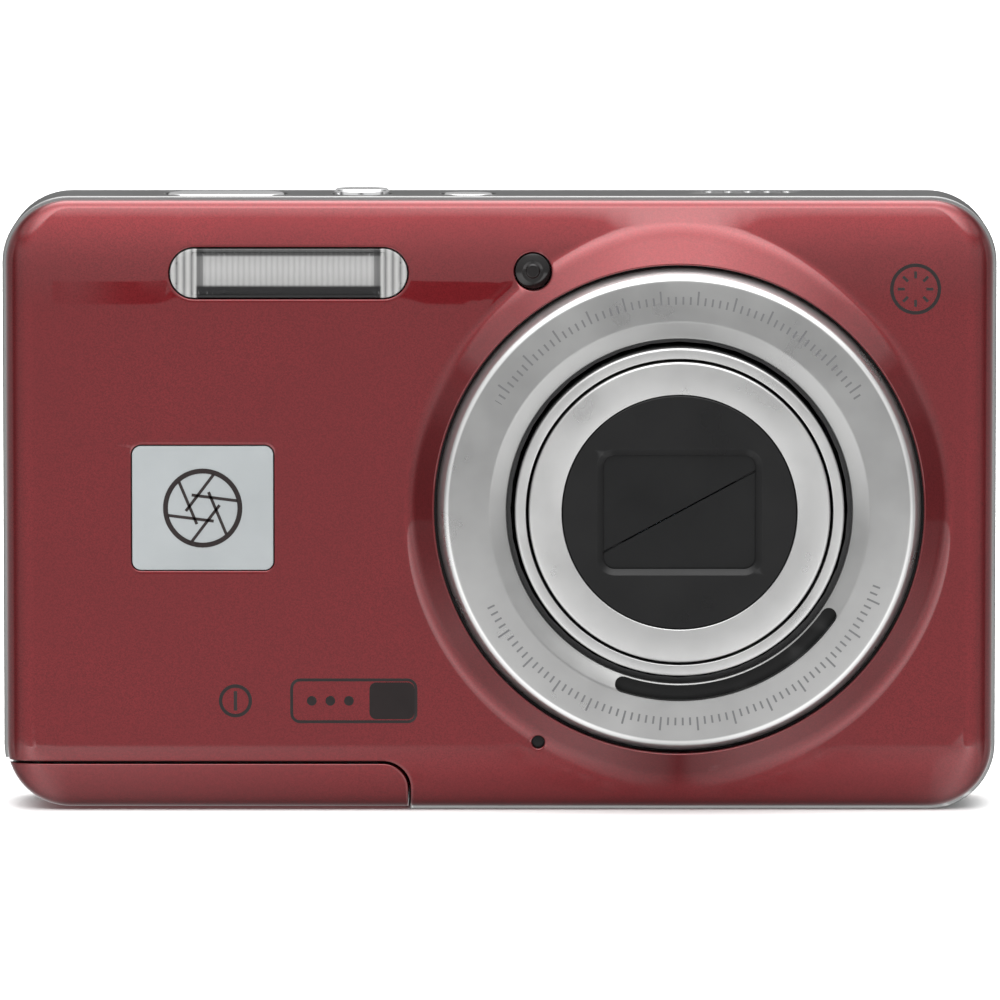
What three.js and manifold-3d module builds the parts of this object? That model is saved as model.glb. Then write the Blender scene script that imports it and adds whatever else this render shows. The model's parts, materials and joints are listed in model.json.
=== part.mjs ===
// Compact digital camera with a retracting zoom lens, as an assembly of separate parts.
// Millimetres, +Z up. The lens looks along -Y and the screen faces +Y. The origin is the middle of the base.
import * as THREE from "three";
import { mergeVertices } from "three/addons/utils/BufferGeometryUtils.js";
import Module from "manifold-3d";

const wasm = await Module();
wasm.setup();

// ---------------------------------------------------------------- driving dimensions
const BODY = { halfWidth: 50.8, height: 63.0, corner: 6.8 }; // outline of the silver mid frame
const COVER_INSET = 0.35; // both covers stand this far inside that outline
const WALL = 1.3;
const SEAM = 0.25; // visible gap between neighbouring covers
const FACE_Y = -6.25; // flat of the front cover
const BACK_Y = 10.75; // flat of the rear cover
const REAR_SPLIT_Y = 7.0; // where the rear cover meets the mid frame
const SPLIT_Y = -3.2; // where the front cover meets the mid frame
const FRONT_ROLL = { side: [3.0, 2.4], top: [1.4, 1.0], bottom: [6.3, 2.95], leans: true }; // [inset, depth]
const LEAN = { from: 52.0, radius: 34, steps: 4 }; // the front face curves back above this height
const REAR_ROLL = { side: [2.6, 2.2], top: [2.4, 2.2], bottom: [3.0, 2.4] };
const CORNER_STEPS = 5;
const ROLL_STEPS = 4;
const SEGMENTS = 36; // sides of an ordinary round piece
const FINE_SEGMENTS = 48; // sides of the large rings at the front

const LENS = { x: 18.3, z: 31.3 }; // optical axis
const COLLAR = { hole: 24.95, flat: 25.15, foot: 28.9, rise: 2.0, slope: 0.85 }; // cone around the lens
const SLOT = { radius: 18.6, width: 1.6, from: -35, to: -108 }; // dark slot in the bezel's inner cone
const WINDOW = { width: 15.8, height: 12.7, corner: 1.4 }; // opening of the front plate
const BLADE = { seam: 28.2, reach: 14.15, gap: 0.06, turn: 24.5, front: -10.25, thickness: 0.25 };
const BLADE_PIVOT = { distance: 12.9, angle: 203 }; // from the optical axis
const GEAR = { module: 0.4, ring: 94, pinion: 12, sector: 28, direction: 218 };
const GEAR_Y = [2.3, 3.8];

const FLASH = { x: -21.5, z: 55.3, width: 24.2, height: 5.0 };
const LAMP = { x: 3.4, z: 55.5, radius: 1.8 };
const MIC = { x: 3.95, z: 7.25, radius: 0.65 };
const BADGE = { x: -30.3, z: 31.3, width: 14.4, height: 12.7, corner: 0.9 };

const DOOR = { right: -9.35, top: 5.0, corner: 2.6, rearY: 5.75, stripY: 6.2, slide: 2.5 };
const HINGE = { y: 5.2, z: 1.05 }; // axis of the battery door
const KNUCKLE = { radius: 0.85, bore: 0.48, pin: 0.36, from: -38.8, to: -15.6 };
const HINGE_LUGS = [-43.2, -14.9]; // left end of each lug
const LUG_WIDTH = 1.4;

const TOP_KEYS = {
  shutter_button: { x: -28.0, width: 12.0, depth: 6.2, rise: 0.15, travel: 1.0 },
  power_button: { x: -14.1, width: 5.6, depth: 4.4, rise: 0.6, travel: 0.5 },
  mode_button: { x: -3.2, width: 5.1, depth: 4.4, rise: 0.1, travel: 0.5 },
};
const TOP_KEY_Y = 1.0;
const TOP_FLANGE = 0.8;
const PAD = { x: -32.5, z: 27.5 };
const REAR_KEYS = {
  movie_button: { x: -40.0, z: 44.2, radius: 2.7 },
  menu_button: { x: -25.0, z: 44.2, radius: 2.7 },
  playback_button: { x: -40.0, z: 11.4, radius: 2.7 },
  delete_button: { x: -25.0, z: 11.4, radius: 2.7 },
};
const PAD_RING = { outer: 10.4, inner: 4.9, back: 11.0, front: 9.4 };
const PAD_SWITCH = 7.2; // distance of the direction switches from the pad's middle
const ROCKER = { x: -32.5, z: 53.0, width: 17.0, height: 5.4, corner: 2.4 };
const SCREEN = { x: 16.6, z: 31.0, width: 62.0, height: 48.0, corner: 1.5 };
const TRIPOD = { x: 14.0, y: 2.3, flange: 4.3, bore: 2.9, height: 7.4 };
const USB = { y: 2.6, z: 18.0, width: 6.0, height: 12.0 };
const STRAP = { y: 2.2, z: 11.0, width: 4.6, height: 8.0 };
const SPEAKER = { x: 25.4, y: 2.0, radius: 5.2 };
const SPEAKER_HOLES = { x: 21.4, y: 2.6, stepX: 2.0, stepY: 1.8, columns: 5, rows: 2, radius: 0.45 };
const LAMP_HOLE = { x: -17.5, z: 57.2, radius: 0.6 }; // status lamp beside the rocker
const BOARD_DROP = 5.0; // top of the switch board below the top of the body

// ---------------------------------------------------------------- solids and booleans
// Any closed geometry as a manifold solid that faces out.
function solid(geometry) {
  const bare = new THREE.BufferGeometry().setAttribute("position", geometry.getAttribute("position"));
  bare.setIndex(geometry.index);
  const merged = mergeVertices(bare, 1e-4);
  const at = merged.attributes.position;
  const triangles = [];
  let volume = 0;
  const [a, b, c] = [0, 1, 2].map(() => new THREE.Vector3());
  for (let i = 0; i < merged.index.count; i += 3) {
    const [p, q, r] = [0, 1, 2].map((k) => merged.index.getX(i + k));
    if (p === q || q === r || r === p) continue;
    triangles.push(p, q, r);
    b.fromBufferAttribute(at, q).cross(c.fromBufferAttribute(at, r));
    volume += a.fromBufferAttribute(at, p).dot(b);
  }
  if (volume < 0) triangles.reverse();
  const vertProperties = new Float32Array(at.array);
  const triVerts = new Uint32Array(triangles);
  return new wasm.Manifold(new wasm.Mesh({ numProp: 3, vertProperties, triVerts }));
}

function geometryOf(manifold) {
  const mesh = manifold.getMesh();
  const flat = new Float32Array(mesh.numVert * 3);
  for (let i = 0; i < mesh.numVert; i++) {
    flat.set(mesh.vertProperties.subarray(i * mesh.numProp, i * mesh.numProp + 3), i * 3);
  }
  return new THREE.BufferGeometry()
    .setAttribute("position", new THREE.BufferAttribute(flat, 3))
    .setIndex(new THREE.BufferAttribute(new Uint32Array(mesh.triVerts), 1));
}

const join = (first, ...rest) => rest.reduce((whole, part) => whole.add(part), first);
const cut = (first, ...rest) => rest.reduce((whole, part) => whole.subtract(part), first);

function box(x0, x1, y0, y1, z0, z1) {
  const shape = new THREE.BoxGeometry(x1 - x0, y1 - y0, z1 - z0);
  return solid(shape.translate((x0 + x1) / 2, (y0 + y1) / 2, (z0 + z1) / 2));
}

// A flat outline with rounded corners, centred on (x, y) of its own plane.
function roundRect(x, y, width, height, radius) {
  const [w, h] = [width / 2 - radius, height / 2 - radius];
  const shape = new THREE.Shape();
  shape.absarc(x + w, y + h, radius, 0, Math.PI / 2);
  shape.absarc(x - w, y + h, radius, Math.PI / 2, Math.PI);
  shape.absarc(x - w, y - h, radius, Math.PI, 1.5 * Math.PI);
  shape.absarc(x + w, y - h, radius, 1.5 * Math.PI, 2 * Math.PI);
  return shape;
}

function polygon(points) {
  return new THREE.Shape(points.map(([x, y]) => new THREE.Vector2(x, y)));
}

// Extrusions of an outline along each axis. Its two coordinates are (x, z), (x, y) and (y, z).
function alongY(shape, y0, y1, curveSegments = 4) {
  const made = new THREE.ExtrudeGeometry(shape, { depth: y1 - y0, bevelEnabled: false, curveSegments });
  return solid(made.rotateX(Math.PI / 2).translate(0, y1, 0));
}
function alongZ(shape, z0, z1, curveSegments = 4) {
  const made = new THREE.ExtrudeGeometry(shape, { depth: z1 - z0, bevelEnabled: false, curveSegments });
  return solid(made.translate(0, 0, z0));
}
function alongX(shape, x0, x1, curveSegments = 4) {
  const made = new THREE.ExtrudeGeometry(shape, { depth: x1 - x0, bevelEnabled: false, curveSegments });
  return solid(made.rotateX(Math.PI / 2).rotateZ(Math.PI / 2).translate(x0, 0, 0));
}

// A body turned about the Y axis from a closed profile of [radius, y] points.
function turned(profile, x = 0, z = 0, segments = SEGMENTS) {
  const points = [...profile, profile[0]].map(([r, y]) => new THREE.Vector2(r, y));
  return solid(new THREE.LatheGeometry(points, segments).translate(x, 0, z));
}
function tube(inner, outer, y0, y1, x = 0, z = 0, segments = SEGMENTS) {
  const profile = [
    [inner, y0],
    [outer, y0],
    [outer, y1],
    [inner, y1],
  ];
  return turned(profile, x, z, segments);
}
const disc = (radius, y0, y1, x = 0, z = 0, segments = SEGMENTS) => tube(0, radius, y0, y1, x, z, segments);

// Cylinders along Z and along X.
function postZ(radius, z0, z1, x, y, segments = 16) {
  const made = new THREE.CylinderGeometry(radius, radius, z1 - z0, segments);
  return solid(made.rotateX(Math.PI / 2).translate(x, y, (z0 + z1) / 2));
}
function rodX(radius, x0, x1, y, z, segments = 16) {
  const made = new THREE.CylinderGeometry(radius, radius, x1 - x0, segments);
  return solid(made.rotateZ(Math.PI / 2).translate((x0 + x1) / 2, y, z));
}

// ---------------------------------------------------------------- body shells
// One ring of points around the body. Each corner keeps its centre while its radii shrink with the insets.
function bodyRing(base, side, top, bottom, yAt) {
  const x = BODY.halfWidth - BODY.corner;
  const points = [];
  for (let quarter = 0; quarter < 4; quarter++) {
    const upper = quarter < 2;
    const rx = BODY.corner - base - side;
    const rz = BODY.corner - base - (upper ? top : bottom);
    const cx = quarter === 0 || quarter === 3 ? x : -x;
    const cz = upper ? BODY.height - BODY.corner : BODY.corner;
    for (let i = 0; i <= CORNER_STEPS; i++) {
      const a = ((quarter + i / CORNER_STEPS) * Math.PI) / 2;
      const upright = Math.sin(a) ** 2;
      points.push(new THREE.Vector3(cx + rx * Math.cos(a), yAt(upright, upper), cz + rz * Math.sin(a)));
    }
  }
  return points;
}

// A solid skinned over rings of equally many points, with flat ends.
function loft(rings) {
  const n = rings[0].length;
  const at = rings.flat().flatMap((p) => [p.x, p.y, p.z]);
  const index = [];
  for (let k = 0; k + 1 < rings.length; k++) {
    for (let i = 0; i < n; i++) {
      const j = (i + 1) % n;
      const [a, b, c, d] = [k * n + i, k * n + j, (k + 1) * n + j, (k + 1) * n + i];
      index.push(a, b, c, a, c, d);
    }
  }
  const last = (rings.length - 1) * n;
  for (let i = 1; i + 1 < n; i++) {
    index.push(0, i + 1, i);
    index.push(last, last + i, last + i + 1);
  }
  const made = new THREE.BufferGeometry();
  made.setAttribute("position", new THREE.BufferAttribute(new Float32Array(at), 3));
  made.setIndex(index);
  return solid(made);
}

// How far the front face has curved back at a height.
function lean(z) {
  const up = Math.max(z - LEAN.from, 0);
  return LEAN.radius - Math.sqrt(LEAN.radius ** 2 - up ** 2);
}

// A cover whose wall runs from openY to its face, with an edge roll that differs on each side.
function coverSolid(base, faceY, openY, roll) {
  const towards = Math.sign(openY - faceY);
  const rings = [bodyRing(base, 0, 0, 0, () => openY)];
  for (let k = 0; k <= ROLL_STEPS; k++) {
    const theta = ((k / ROLL_STEPS) * Math.PI) / 2;
    const inset = 1 - Math.cos(theta);
    const back = 1 - Math.sin(theta);
    const yAt = (upright, upper) => {
      const vertical = upper ? roll.top[1] : roll.bottom[1];
      return faceY + towards * back * (roll.side[1] * (1 - upright) + vertical * upright);
    };
    rings.push(bodyRing(base, roll.side[0] * inset, roll.top[0] * inset, roll.bottom[0] * inset, yAt));
  }
  return loft(roll.leans ? leaning(rings, faceY) : rings);
}

// Curves a cover's rings back above LEAN.from, with more rings down its face.
function leaning(rings, faceY) {
  const [open, ...rolled] = rings;
  const curved = rolled.map((ring) => ring.map((p) => p.clone().setY(p.y + lean(p.z))));
  const face = rolled[rolled.length - 1];
  const highest = Math.max(...face.map((p) => p.z));
  for (let k = 1; k <= LEAN.steps; k++) {
    const limit = highest + ((LEAN.from - highest) * k) / LEAN.steps;
    curved.push(
      face.map((p) => {
        const z = Math.min(p.z, limit);
        return new THREE.Vector3(p.x, faceY + lean(z), z);
      }),
    );
  }
  return [open, ...curved];
}

// The roll of a cover's inner surface, a wall's thickness inside the outer one.
function innerRoll(roll) {
  const shrink = (sizes) => sizes.map((size) => Math.max(size - WALL, 0.1));
  return { ...roll, side: shrink(roll.side), top: shrink(roll.top), bottom: shrink(roll.bottom) };
}

function shell(faceY, openY, roll) {
  const towards = Math.sign(openY - faceY);
  const outer = coverSolid(COVER_INSET, faceY, openY, roll);
  const inner = coverSolid(COVER_INSET + WALL, faceY + towards * WALL, openY + towards, innerRoll(roll));
  return outer.subtract(inner);
}

// The bottom left region that the battery door fills, grown by gap.
function doorRegion(gap, y0, y1) {
  const outline = new THREE.Shape();
  const [right, top, radius] = [DOOR.right + gap, DOOR.top + gap, DOOR.corner + gap];
  outline.moveTo(-60, -5);
  outline.lineTo(right, -5);
  outline.lineTo(right, top - radius);
  outline.absarc(right - radius, top - radius, radius, 0, Math.PI / 2);
  outline.lineTo(-60, top);
  return alongY(outline, y0, y1);
}

// The outline of an opening or an insert, with grow added all round.
function grown({ x, z, width, height }, corner, grow) {
  return roundRect(x, z, width + 2 * grow, height + 2 * grow, corner + grow);
}
const flashOutline = (grow) => grown(FLASH, FLASH.height / 2 - 0.01, grow);
const badgeOutline = (grow) => grown(BADGE, BADGE.corner, grow);
const usbOutline = (grow) => grown({ ...USB, x: USB.y }, 2, grow);
const strapOutline = (grow) => grown({ ...STRAP, x: STRAP.y }, 1.6, grow);

function frontCover() {
  const skin = shell(FACE_Y, SPLIT_Y, FRONT_ROLL);
  const top = FACE_Y - COLLAR.rise;
  const profile = [
    [COLLAR.hole - 1, top],
    [COLLAR.flat, top],
    [COLLAR.foot, top + COLLAR.slope * (COLLAR.foot - COLLAR.flat)],
    [COLLAR.foot, FACE_Y + WALL],
    [COLLAR.hole - 1, FACE_Y + WALL],
  ];
  const collar = turned(profile, LENS.x, LENS.z, FINE_SEGMENTS);
  return cut(
    skin.add(collar),
    disc(COLLAR.hole, -20, 0, LENS.x, LENS.z, FINE_SEGMENTS),
    alongY(flashOutline(0.15), -20, 0),
    disc(LAMP.radius + 0.12, -20, 0, LAMP.x, LAMP.z, 20),
    disc(MIC.radius, -20, 0, MIC.x, MIC.z, 12),
    alongY(badgeOutline(0.1), -20, FACE_Y + 0.35),
    doorRegion(SEAM, -20, 20),
  );
}

// A screw with a cross recess, whose head faces outwards along direction: "x", "-x" or "-z".
const SCREW = { head: 1.3, headHeight: 0.6, shank: 0.6, length: 3.4 };
function screw(x, y, z, direction) {
  const parts = [
    disc(SCREW.head, 0, SCREW.headHeight, 0, 0, 12),
    disc(SCREW.shank, SCREW.headHeight - 0.1, SCREW.length, 0, 0, 8),
  ];
  const recess = box(-0.18, 0.18, -1, 0.35, -0.8, 0.8).add(box(-0.8, 0.8, -1, 0.35, -0.18, 0.18));
  const made = geometryOf(join(...parts).subtract(recess));
  if (direction === "x") made.rotateZ(Math.PI / 2);
  if (direction === "-x") made.rotateZ(-Math.PI / 2);
  if (direction === "-z") made.rotateX(Math.PI / 2);
  return made.translate(x, y, z);
}
const SCREWS = [
  ["screw_base_right", 41.5, 3.0, 0.25, "-z"],
  ["screw_base_middle", -3.0, 3.0, 0.25, "-z"],
  ["screw_right_upper", BODY.halfWidth - 0.25, 2.6, 47.2, "x"],
  ["screw_left_upper", 0.25 - BODY.halfWidth, 2.6, 47.2, "-x"],
];
// Room for a screw's head, and a clearance hole for its shank, through the frame's wall.
function screwRoom([, x, y, z, direction]) {
  const [seat, hole] = [SCREW.head + 0.2, SCREW.shank + 0.2];
  if (direction === "-z") {
    return postZ(seat, -1, z + SCREW.headHeight + 0.1, x, y).add(postZ(hole, -1, 3, x, y));
  }
  const out = direction === "x" ? 1 : -1;
  const ends = [x - out * (SCREW.headHeight + 0.1), x + out * 3];
  return rodX(seat, Math.min(...ends), Math.max(...ends), y, z).add(rodX(hole, x - 3, x + 3, y, z));
}

function keyOutline({ x, width, depth }, grow) {
  return roundRect(x, TOP_KEY_Y, width + 2 * grow, depth + 2 * grow, depth * 0.42 + grow);
}

function midFrame() {
  const outer = loft([SPLIT_Y + 0.12, REAR_SPLIT_Y - 0.12].map((y) => bodyRing(0, 0, 0, 0, () => y)));
  const inner = loft([-30, 20].map((y) => bodyRing(WALL + COVER_INSET, 0, 0, 0, () => y)));
  const band = cut(outer.subtract(inner), doorRegion(SEAM, -20, DOOR.stripY));
  const lugs = HINGE_LUGS.map((x) =>
    cut(
      box(x, x + LUG_WIDTH, HINGE.y - 1.0, DOOR.stripY + 0.1, 0.45, 2.1),
      rodX(KNUCKLE.bore, x - 1, x + LUG_WIDTH + 1, HINGE.y, HINGE.z, 12),
    ),
  );
  const speakerHoles = [];
  for (let column = 0; column < SPEAKER_HOLES.columns; column++) {
    for (let row = 0; row < SPEAKER_HOLES.rows; row++) {
      const { x, y, stepX, stepY, radius } = SPEAKER_HOLES;
      speakerHoles.push(postZ(radius, 59, 65, x + column * stepX, y + row * stepY, 6));
    }
  }
  return cut(
    join(band, ...lugs),
    ...Object.values(TOP_KEYS).map((key) => alongZ(keyOutline(key, 0.2), 55, 65)),
    ...speakerHoles,
    alongX(usbOutline(0.2), 45, 55),
    alongX(strapOutline(0.15), -55, -45),
    postZ(TRIPOD.flange + 0.15, -2, 3, TRIPOD.x, TRIPOD.y, 32),
    ...SCREWS.map(screwRoom),
  );
}

function rearCover() {
  const skin = shell(BACK_Y, REAR_SPLIT_Y, REAR_ROLL);
  return cut(
    skin,
    alongY(screenOutline(0.15), 5, 20),
    disc(PAD_RING.outer + 0.3, 5, 20, PAD.x, PAD.z),
    alongY(grown(ROCKER, ROCKER.corner, 0.3), 5, 20),
    ...Object.values(REAR_KEYS).map((key) => disc(key.radius + 0.15, 5, 20, key.x, key.z, 24)),
    disc(LAMP_HOLE.radius, 5, 20, LAMP_HOLE.x, LAMP_HOLE.z, 12),
  );
}

// ---------------------------------------------------------------- base: battery door, hinge, tripod bush
function batteryDoor() {
  const skin = shell(FACE_Y, DOOR.rearY, FRONT_ROLL).intersect(doorRegion(0, -20, 20));
  const axis = (radius, x0, x1, segments = 16) => rodX(radius, x0, x1, HINGE.y, HINGE.z, segments);
  const behind = box(-60, 0, HINGE.y, 20, -5, 1.95).subtract(axis(KNUCKLE.radius, -60, 0));
  const ribs = [-30, -20].map((x) => box(x, x + 1, -2.5, 3.5, 1.2, 2.4));
  // Room for the lugs over the whole sliding travel.
  const notches = HINGE_LUGS.map((x) => axis(1.55, x - 0.3, x + LUG_WIDTH + DOOR.slide + 0.3));
  return cut(
    join(skin.subtract(behind), axis(KNUCKLE.radius, KNUCKLE.from, KNUCKLE.to), ...ribs),
    ...notches,
    axis(KNUCKLE.bore, -60, 0, 12),
  );
}

const hingePin = () => rodX(KNUCKLE.pin, -43.8, -10.2, HINGE.y, HINGE.z, 12);

function tripodBush() {
  const { x, y, flange, bore, height } = TRIPOD;
  return cut(
    postZ(flange, 0, 1.5, x, y, 32).add(postZ(4.0, 1.4, height, x, y, 24)),
    postZ(bore, -1, height - 1, x, y, 24),
  );
}

// ---------------------------------------------------------------- keys
function topKey(key) {
  const wallInner = BODY.height - COVER_INSET - WALL;
  const top = BODY.height + key.rise;
  const cap = alongZ(keyOutline(key, 0), wallInner - 0.6, top - 0.35);
  const crown = alongZ(keyOutline(key, -0.35), top - 0.5, top);
  const flange = alongZ(keyOutline(key, TOP_FLANGE), wallInner - 0.8, wallInner - 0.15);
  const stem = postZ(1.1, BODY.height - BOARD_DROP + 1.6, wallInner - 0.5, key.x, TOP_KEY_Y, 12);
  return join(cap, crown, flange, stem);
}

function rearKey({ x, z, radius }) {
  const profile = [
    [0, 8.9],
    [radius, 8.9],
    [radius, 10.85],
    [radius - 0.35, 11.05],
    [0, 11.1],
  ];
  const crown = turned(profile, x, z, 20);
  return join(crown, disc(radius + 0.6, 8.9, 9.3, x, z, 20), disc(0.9, 7.9, 9.0, x, z, 12));
}

function padRing() {
  const { outer, inner, back, front } = PAD_RING;
  const profile = [
    [inner, front],
    [outer, front],
    [outer, back - 0.1],
    [outer - 0.5, back + 0.15],
    [inner + 1.2, back - 0.25],
    [inner, back - 0.3],
  ];
  return turned(profile, PAD.x, PAD.z);
}
const padGimbal = () => tube(6.0, 9.4, 8.2, 8.8, PAD.x, PAD.z);
function setButton() {
  const profile = [
    [0, 8.5],
    [4.55, 8.5],
    [4.55, 10.7],
    [4.2, 10.9],
    [0, 11.0],
  ];
  const flange = disc(5.2, 8.5, 8.95, PAD.x, PAD.z, 32);
  const stem = disc(1.0, 7.8, 8.6, PAD.x, PAD.z, 12);
  return join(turned(profile, PAD.x, PAD.z, 32), flange, stem);
}

function zoomRocker() {
  const { x, z, height, corner } = ROCKER;
  const cap = alongY(grown(ROCKER, corner, 0), 9.2, 10.9);
  const ends = [-1, 1].map((s) => alongY(roundRect(x + s * 5.9, z, 4.2, height - 1.2, 1.9), 10.8, 11.15));
  return join(cap, ...ends, postZ(0.7, z - 1.6, z + 1.6, x, 9.0, 12));
}

// ---------------------------------------------------------------- screen, electronics, power
const screenOutline = (grow) => grown(SCREEN, SCREEN.corner, grow);
const screenGlass = () => alongY(screenOutline(0), 10.0, 10.95);
const screenModule = () => box(SCREEN.x - 30, SCREEN.x + 30, 7.4, 9.3, SCREEN.z - 22.8, SCREEN.z + 22.8);

function chassisPlate() {
  const plate = box(-10.4, 48.4, 6.7, 7.1, 5.0, 57.0);
  const openings = [
    box(38, 46, 6, 8, 10, 24),
    box(-7, 2, 6, 8, 30, 42),
    disc(5, 6, 8, LENS.x, 48, 24),
  ];
  return cut(plate, ...openings);
}

function mainBoard() {
  const board = box(-48.2, -11.2, 6.0, 6.8, 6.0, 58.0);
  const keys = Object.values(REAR_KEYS).map(({ x, z }) => disc(1.9, 6.7, 7.3, x, z, 10));
  const pads = [0, 1, 2, 3].map((i) => {
    const a = (i * Math.PI) / 2;
    return disc(1.6, 6.7, 7.2, PAD.x + PAD_SWITCH * Math.cos(a), PAD.z + PAD_SWITCH * Math.sin(a), 8);
  });
  pads.push(disc(1.6, 6.7, 7.2, PAD.x, PAD.z, 8));
  const rocker = [-5.5, 5.5].map((x) => disc(1.6, 6.7, 7.3, ROCKER.x + x, ROCKER.z, 8));
  const chip = box(-46, -38.5, 4.6, 6.1, 37, 44);
  return join(board, chip, ...keys, ...pads, ...rocker);
}

function topBoard() {
  const top = BODY.height - BOARD_DROP;
  const board = box(-38, 2, -1.8, 3.8, top - 0.6, top);
  const switches = Object.values(TOP_KEYS).map(({ x, travel }) =>
    postZ(1.3, top - 0.1, top + 1.5 - travel, x, TOP_KEY_Y, 16),
  );
  return join(board, ...switches);
}

const BATTERY = { x: [-46.4, -11.6], y: [-3.7, 2.3], z: [3.4, 43.4] };
function batteryBox() {
  const [x0, x1] = BATTERY.x;
  const [y0, y1] = BATTERY.y;
  return cut(
    box(x0 - 0.9, x1 + 0.9, y0 - 0.9, y1 + 0.8, 5.2, 45.2),
    box(x0 - 0.2, x1 + 0.2, y0 - 0.2, y1 + 0.2, 0, 44.2),
  );
}
function battery() {
  const [[x0, x1], [y0, y1], [z0, z1]] = [BATTERY.x, BATTERY.y, BATTERY.z];
  const outline = roundRect((x0 + x1) / 2, (y0 + y1) / 2, x1 - x0, y1 - y0, 1.6);
  const contacts = [-22, -19, -16].map((x) => box(x, x + 2, -1.5, 0.5, z1 - 0.4, z1 + 1));
  return cut(alongZ(outline, z0, z1), ...contacts);
}
const CARD = { x: [-37.0, -13.0], y: [3.75, 5.5], z: [3.2, 35.2] };
function memoryCard() {
  const [[x0, x1], [y0, y1], [z0, z1]] = [CARD.x, CARD.y, CARD.z];
  const notch = 4; // cut corner
  const outline = new THREE.Shape();
  outline.moveTo(x0, z0);
  outline.lineTo(x1, z0);
  outline.lineTo(x1, z1);
  outline.lineTo(x0 + notch, z1);
  outline.lineTo(x0, z1 - notch);
  return alongY(outline, y0, y1);
}
function cardSlot() {
  const [[x0, x1], [y0, y1], [, z1]] = [CARD.x, CARD.y, CARD.z];
  return cut(
    box(x0 - 0.6, x1 + 0.6, y0 - 0.3, y1 + 0.3, 6.4, z1 + 0.9),
    box(x0 - 0.2, x1 + 0.2, y0 - 0.12, y1 + 0.12, 0, z1 + 0.3),
  );
}

function flashReflector() {
  const { x, z } = FLASH;
  const inside = [
    [-4.7, -1.5],
    [-2.3, -0.9],
    [-1.8, 0],
    [-2.3, 0.9],
    [-4.7, 1.5],
  ];
  const outside = [
    [-4.7, 1.9],
    [-2.0, 1.4],
    [-1.3, 0],
    [-2.0, -1.4],
    [-4.7, -1.9],
  ];
  const trough = polygon([...inside, ...outside].map(([y, height]) => [y, z + height]));
  return alongX(trough, x - 9.6, x + 9.6);
}
const flashTube = () => rodX(0.6, FLASH.x - 10.6, FLASH.x + 10.6, -2.9, FLASH.z, 12);
// The window follows the leaning face.
function flashWindow() {
  const outside = [
    [-20, FLASH.z + 5],
    [-20, FLASH.z - 5],
  ];
  for (let z = FLASH.z - 5; z <= FLASH.z + 5; z += 2) {
    outside.push([FACE_Y - 0.05 + lean(z), z]);
  }
  const window = alongY(flashOutline(0), FACE_Y - 0.05, FACE_Y + 1.2);
  return window.subtract(alongX(polygon(outside), FLASH.x - 20, FLASH.x + 20));
}
const flashCapacitor = () => rodX(3.4, -45.4, -19.6, 1.2, 51.4, 20);

function lampWindow() {
  const { x, z, radius } = LAMP;
  const front = disc(radius, FACE_Y + 0.25, FACE_Y + 2.9, x, z, 20);
  return front.add(disc(radius + 0.7, FACE_Y + 2.2, FACE_Y + 2.9, x, z, 20));
}
const microphone = () => disc(1.5, FACE_Y + WALL + 0.3, FACE_Y + WALL + 1.5, MIC.x, MIC.z, 16);
const badge = () => alongY(badgeOutline(0), FACE_Y - 0.05, FACE_Y + 0.25);
const speaker = () => postZ(SPEAKER.radius, BODY.height - 4.6, BODY.height - 1.8, SPEAKER.x, SPEAKER.y, 24);

function usbSocket() {
  const { y, z } = USB;
  const body = box(43.0, 48.6, y - 1.5, y + 1.5, z - 3.9, z + 3.9);
  return body.subtract(box(44.0, 49, y - 1.1, y + 1.1, z - 3.5, z + 3.5));
}
function usbCover() {
  const flap = alongX(usbOutline(0), 49.3, BODY.halfWidth);
  return flap.add(alongX(roundRect(USB.y, USB.z, 1.6, 6.2, 0.7), 48.9, 49.4));
}

function strapEyelet() {
  const { y, z, height } = STRAP;
  const cup = cut(alongX(strapOutline(0), -50.5, -48.1), alongX(strapOutline(-0.45), -51, -48.6));
  const bar = postZ(0.7, z - height / 2 + 0.2, z + height / 2 - 0.2, -50.1, y, 12);
  return cup.add(bar);
}

// ---------------------------------------------------------------- lens unit, about its own axis
function lensBezel() {
  const front = [
    [24.7, -6.6],
    [24.7, -8.1],
    [24.0, -9.6],
    [23.6, -9.85],
    [19.3, -10.2],
    [17.6, -9.75],
  ];
  const back = [
    [17.6, -8.6],
    [19.2, -8.6],
    [23.0, -8.3],
    [23.4, -6.6],
  ];
  const ring = turned([...front, ...back], 0, 0, FINE_SEGMENTS);
  const radians = THREE.MathUtils.degToRad;
  const slot = new THREE.Shape();
  const [inner, outer] = [SLOT.radius - SLOT.width / 2, SLOT.radius + SLOT.width / 2];
  slot.absarc(0, 0, outer, radians(SLOT.from), radians(SLOT.to), true);
  slot.absarc(0, 0, inner, radians(SLOT.to), radians(SLOT.from), false);
  return ring.subtract(alongY(slot, -12, -7, 14));
}

function lensHousing() {
  const wall = tube(19.6, 21.0, -8.0, 5.6);
  const back = cut(disc(20.0, 4.6, 5.6), box(-5, 5, 4, 6, -4, 4));
  const [x, z] = pinionCentre();
  return cut(join(wall, back), disc(3.3, -4.8, GEAR_Y[1] + 0.5, x, z, 24));
}

function pinionCentre() {
  const distance = (GEAR.module * (GEAR.ring + GEAR.pinion)) / 2;
  const a = THREE.MathUtils.degToRad(GEAR.direction);
  return [distance * Math.cos(a), distance * Math.sin(a)];
}

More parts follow.
